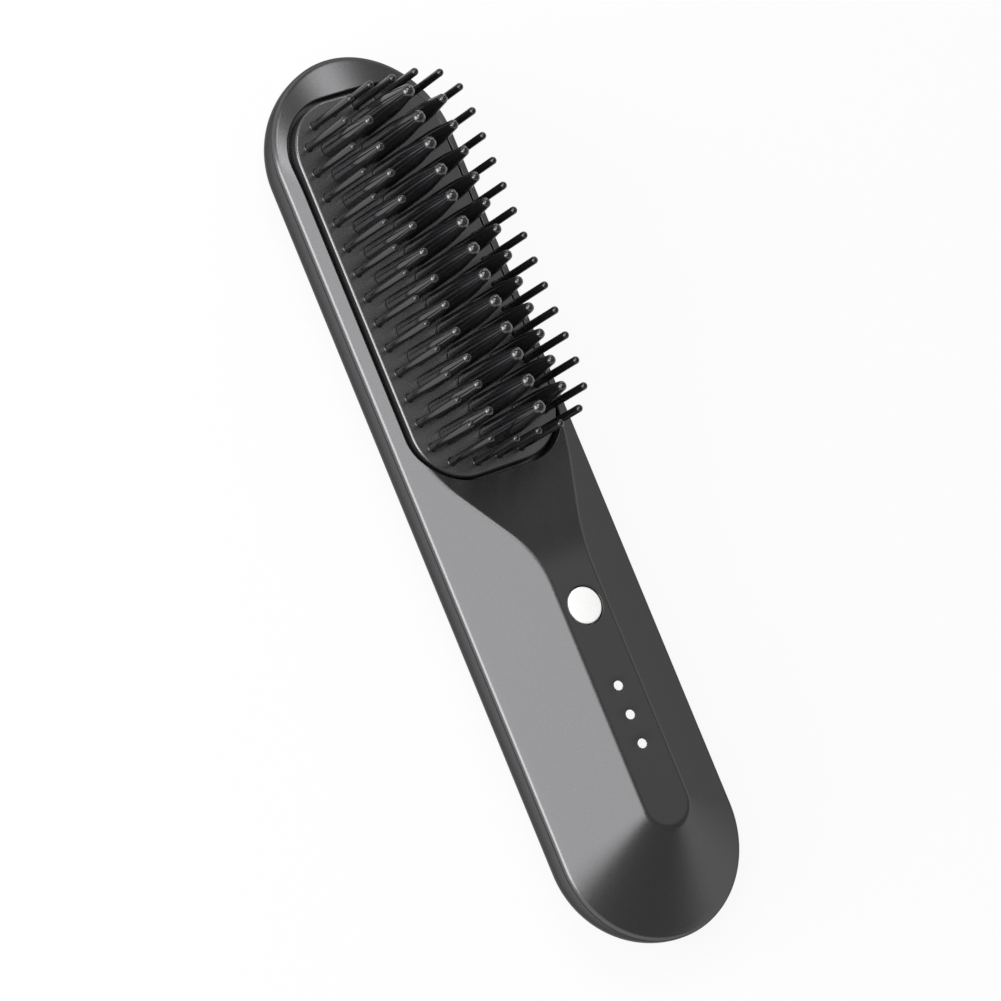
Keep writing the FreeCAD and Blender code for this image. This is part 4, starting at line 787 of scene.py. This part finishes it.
pinValues = {
    "radius": 0.78,
    "flareRadius": 1.0,
    "flareHeight": 0.8,
    "sink": 0.4,
    "top": 33.25,
    "pitch": 5.227,
    "endPitch": 5.3,
    "halfRow": 6,
    "halfEnd": 2,
    "halfWidth": 14.15,
    "halfLength": 36.662,
    "corner": 8.35,
    "segments": 20,
    "tipSteps": 8,
    "flareSteps": 5,
    "sharp": 32.0,
}
pinRadius, pinTop, pinCorner = pinValues["radius"], pinValues["top"], pinValues["corner"]
pinCornerX, pinCornerY = pinValues["halfWidth"] - pinCorner, pinValues["halfLength"] - pinCorner


# Distance from a corner's centre to the pins' rounded path, at places along one side
def pathReach(places, cornerCentre):
    return np.sqrt(pinCorner ** 2 - np.clip(np.abs(places) - cornerCentre, 0, None) ** 2)


rowPlace = np.arange(-pinValues["halfRow"], pinValues["halfRow"] + 1) * pinValues["pitch"]
rowAcross = pinCornerX + pathReach(rowPlace, pinCornerY)
endAcross = np.arange(-pinValues["halfEnd"], pinValues["halfEnd"] + 1) * pinValues["endPitch"]
endAlong = pinCornerY + pathReach(endAcross, pinCornerX)
pinPlaces = np.concatenate([
    np.stack([rowAcross, plateCentre + rowPlace], -1), np.stack([-rowAcross, plateCentre + rowPlace], -1),
    np.stack([endAcross, plateCentre + endAlong], -1), np.stack([endAcross, plateCentre - endAlong], -1)])
turn = np.linspace(0, np.pi / 2, pinValues["tipSteps"] + 1)
flareTurn = np.linspace(0, np.pi / 2, pinValues["flareSteps"] + 1)
flareGrow = pinValues["flareRadius"] - pinRadius
pinFoot = plateTop - pinValues["sink"]
pinProfile = np.concatenate([
    [[0.0, pinFoot], [pinValues["flareRadius"], pinFoot]],
    np.stack([pinRadius + flareGrow * (1 - np.sin(flareTurn)),
              plateTop + pinValues["flareHeight"] * (1 - np.cos(flareTurn))], -1),
    np.stack([pinRadius * np.cos(turn), pinTop - pinRadius * (1 - np.sin(turn))], -1)])
makePiece("guardPins", revolved(pinProfile, pinPlaces, pinValues["segments"]), combBlack,
          "brush", ["guard_pins"], sharp=pinValues["sharp"])
print("guard pins", len(pinPlaces))

# Heated teeth

toothValues = {
    "base": 12.0,
    "shankRadius": 1.25,
    "footLevel": 17.0,
    "footRound": 0.15,
    "footGap": 1.0,
    "waistGap": 1.5,
    "middleFoot": (2.6, 2.6),
    "middleWaist": (2.35, 28.0),
    "middleTip": (1.4, 37.0),
    "middleCount": 13,
    "sideFoot": (2.3, 1.95),
    "sideWaist": (1.8, 26.0),
    "sideTip": (1.05, 33.6),
    "sideCount": 12,
    "pitch": 5.458,
    "column": 8.75,
    "segments": 32,
    "footSteps": 3,
    "lowSteps": 4,
    "highSteps": 5,
    "tipSteps": 11,
}


# Teeth of one kind: a shank, a foot with a small round, a body that shrinks a little up to the waist and
# faster from there to the tip's radius, then a round tip; foot is the half width and half length of the
# oval foot, waist and tip are each a radius and a level
def toothColumn(foot, waist, tip, places):
    turn = np.linspace(0, np.pi / 2, toothValues["tipSteps"] + 1)
    footLevel, footRound, gap = toothValues["footLevel"], toothValues["footRound"], toothValues["waistGap"]
    tipCentre = tip[1] - tip[0]
    marks = [footLevel, waist[1], tipCentre]
    level = np.concatenate([
        np.linspace(0, footRound, toothValues["footSteps"] + 1) + footLevel,
        np.linspace(footLevel + toothValues["footGap"], waist[1] - gap, toothValues["lowSteps"] + 1),
        np.linspace(waist[1] + gap, tipCentre, toothValues["highSteps"] + 1)[:-1]])
    below = np.clip(footLevel + footRound - level, 0, None)
    rounding = np.sqrt(np.maximum(footRound ** 2 - below ** 2, 0)) - footRound
    across = np.interp(level, marks, [foot[0], waist[0], tip[0]]) + rounding
    along = np.interp(level, marks, [foot[1], waist[0], tip[0]]) + rounding
    shank, base = toothValues["shankRadius"], toothValues["base"]
    profile = np.concatenate([
        [[0.0, base], [shank, base], [shank, footLevel]],
        np.stack([across, level], -1),
        np.stack([tip[0] * np.cos(turn), tipCentre + tip[0] * np.sin(turn)], -1)])
    share = np.concatenate([[1, 1, 1], along / across, np.ones(len(turn))])
    return revolved(profile, places, toothValues["segments"], share)


# Places along y of a column of teeth, even about the plate's centre
def columnPlaces(count):
    return plateCentre + (np.arange(count) - (count - 1) / 2) * toothValues["pitch"]


middleY, sideY = columnPlaces(toothValues["middleCount"]), columnPlaces(toothValues["sideCount"])
sideAcross = np.repeat([-toothValues["column"], toothValues["column"]], toothValues["sideCount"])
toothParts = toothColumn(toothValues["middleFoot"], toothValues["middleWaist"], toothValues["middleTip"],
                         np.stack([0 * middleY, middleY], -1))
toothParts += toothColumn(toothValues["sideFoot"], toothValues["sideWaist"], toothValues["sideTip"],
                          np.stack([sideAcross, np.tile(sideY, 2)], -1))
makePiece("heatedTeeth", toothParts, toothBlack, "brush", ["heated_teeth"])
print("heated teeth", len(toothParts))

# Push button

capValues = {
    "place": (0.0, buttonPlace),
    "radius": 3.65,
    "top": 24.65,
    "edgeRound": 0.35,
    "flangeRadius": 4.35,
    "flangeLevels": (21.8, 22.45),
    "segments": 72,
    "edgeSteps": 7,
}
turn = np.linspace(0, np.pi / 2, capValues["edgeSteps"] + 1)
edge, capRadius, capTop = capValues["edgeRound"], capValues["radius"], capValues["top"]
capFlange = capValues["flangeRadius"]
lowFlange, highFlange = capValues["flangeLevels"]
capProfile = np.concatenate([
    [[0.0, lowFlange], [capFlange, lowFlange], [capFlange, highFlange], [capRadius, highFlange]],
    np.stack([capRadius - edge * (1 - np.cos(turn)), capTop - edge * (1 - np.sin(turn))], -1),
    [[0.0, capTop]]])
powerButton = makePiece("powerButton", revolved(capProfile, [capValues["place"]], capValues["segments"]),
                        buttonWhite, "button", ["power_button"])
print("push button", len(powerButton.data.polygons), "faces")

# Floor, world, lights and camera

studioValues = {
    "floorReach": 4.0,
    "flatShare": 0.5,
    "coveRadius": 1.5,
    "coveTop": 2.5,
    "coveSteps": 12,
    "sheetSegments": 96,
    "floorDrop": 0.05,
    "sheetColour": "#f2f2f2",
    "sheetScale": 40.0,
    "sheetDetail": 2.0,
    "sheetRough": (0.85, 0.95),
    "whiteShare": 0.9,
    "worldLevel": 0.18,
}

# Soft lamps that look at the object: place in metres, width, height and watts
lampValues = {
    "keyLamp": ((-0.69, 0.32, 1.17), 1.8, 0.7, 11.8),
    "sideLamp": ((-0.16, 0.59, 1.26), 0.45, 0.45, 2.3),
    "edgeLamp": ((-1.30, 0.11, 0.46), 1.2, 0.9, 22.0),
    "headLamp": ((0.05, 0.142, 0.094), 0.024, 0.024, 0.012),
    "fillLamp": ((0.81, 0.12, 1.26), 0.6, 0.6, 0.43),
}

# Camera at the photograph's angle: place and clip in metres, lens and sensor in millimetres, and its axes
cameraValues = {
    "place": (-0.51072, -0.07846, 0.80762),
    "lens": 176.32,
    "sensor": 36.0,
    "clip": (0.05, 30.0),
    "right": (0.79515103, -0.38004432, 0.47254752),
    "up": (0.2800911, 0.92132057, 0.2696616),
    "back": (-0.53785111, -0.08206534, 0.83903603),
}
white = (1.0, 1.0, 1.0, 1.0)

# Matte white studio sheet: white to camera, glossy and transmission rays, with the soft shadow still on it,
# and clear when it is looked at from below
floorMaterial = bpy.data.materials.new("matteStudioSheet")
floorMaterial.use_nodes = True
tree = floorMaterial.node_tree
shader = tree.nodes["Principled BSDF"]
place = addNode(tree, "ShaderNodeTexCoord").outputs["Object"]
noise = addNode(tree, "ShaderNodeTexNoise", inputs={
    "Vector": place, "Scale": studioValues["sheetScale"], "Detail": studioValues["sheetDetail"]}).outputs[0]
roughLow, roughHigh = studioValues["sheetRough"]
rough = addNode(tree, "ShaderNodeMapRange", inputs={
    "Value": noise, "To Min": roughLow, "To Max": roughHigh}).outputs[0]
tree.links.new(rough, shader.inputs["Roughness"])
shader.inputs["Base Color"].default_value = hexColour(studioValues["sheetColour"])
shader.inputs["Specular IOR Level"].default_value = 0.0
glow = addNode(tree, "ShaderNodeEmission", inputs={"Color": white, "Strength": 1.0})
path = addNode(tree, "ShaderNodeLightPath").outputs
seen = addNode(tree, "ShaderNodeMath", {"operation": "MAXIMUM"}, {
    0: path["Is Camera Ray"], 1: path["Is Glossy Ray"]}).outputs[0]
seen = addNode(tree, "ShaderNodeMath", {"operation": "MAXIMUM"}, {
    0: seen, 1: path["Is Transmission Ray"]}).outputs[0]
seen = addNode(tree, "ShaderNodeMath", {"operation": "MULTIPLY"}, {
    0: seen, 1: studioValues["whiteShare"]}).outputs[0]
mixed = addNode(tree, "ShaderNodeMixShader", inputs={0: seen, 1: shader.outputs[0], 2: glow.outputs[0]})
clear = addNode(tree, "ShaderNodeBsdfTransparent")
facing = addNode(tree, "ShaderNodeNewGeometry").outputs["Backfacing"]
sheet = addNode(tree, "ShaderNodeMixShader", inputs={0: facing, 1: mixed.outputs[0], 2: clear.outputs[0]})
tree.links.new(sheet.outputs[0], tree.nodes["Material Output"].inputs["Surface"])

# Round studio sheet: flat, then a quarter round up to a low wall, swept round the upright axis
turn = np.linspace(0, np.pi / 2, studioValues["coveSteps"] + 1)
reach, cove = studioValues["floorReach"], studioValues["coveRadius"]
sheetProfile = np.concatenate([
    [[0.0, 0.0], [studioValues["flatShare"] * reach, 0.0]],
    np.stack([reach + cove * np.sin(turn), cove * (1 - np.cos(turn))], -1),
    [[reach + cove, studioValues["coveTop"]]]]) / mm
sheetPoints, sheetQuads = revolved(sheetProfile, [(0.0, 0.0)], studioValues["sheetSegments"])[0]
floorMesh = bpy.data.meshes.new("studioFloor")
floorMesh.from_pydata((sheetPoints * mm).tolist(), [], sheetQuads[:, ::-1].tolist())
floorMesh.validate()
floorMesh.shade_smooth()
floorMesh.materials.append(floorMaterial)
floor = bpy.data.objects.new("studioFloor", floorMesh)
floor.location.z = cadBox[0][2] - studioValues["floorDrop"] * mm
bpy.context.scene.collection.objects.link(floor)

world = bpy.data.worlds.new("softStudio")
world.use_nodes = True
bpy.context.scene.world = world
ambient = world.node_tree.nodes["Background"]
ambient.inputs["Color"].default_value = white
ambient.inputs["Strength"].default_value = studioValues["worldLevel"]

for name, (place, width, height, power) in lampValues.items():
    lamp = bpy.data.lights.new(name, "AREA")
    lamp.shape = "RECTANGLE"
    lamp.size, lamp.size_y = width, height
    lamp.energy = power
    holder = bpy.data.objects.new(name, lamp)
    holder.location = place
    holder.rotation_euler = (-Vector(place)).to_track_quat("-Z", "Y").to_euler()
    holder.visible_camera = False
    bpy.context.scene.collection.objects.link(holder)

camera = bpy.data.cameras.new("photoCamera")
camera.lens = cameraValues["lens"]
camera.sensor_width = cameraValues["sensor"]
camera.clip_start, camera.clip_end = cameraValues["clip"]
cameraHolder = bpy.data.objects.new("photoCamera", camera)
turned = Matrix([cameraValues[axis] for axis in ("right", "up", "back")]).transposed().to_4x4()
cameraHolder.matrix_world = Matrix.Translation(cameraValues["place"]) @ turned
bpy.context.scene.collection.objects.link(cameraHolder)
bpy.context.scene.camera = cameraHolder
bpy.context.scene.view_settings.view_transform = "Standard"
print("studio set")
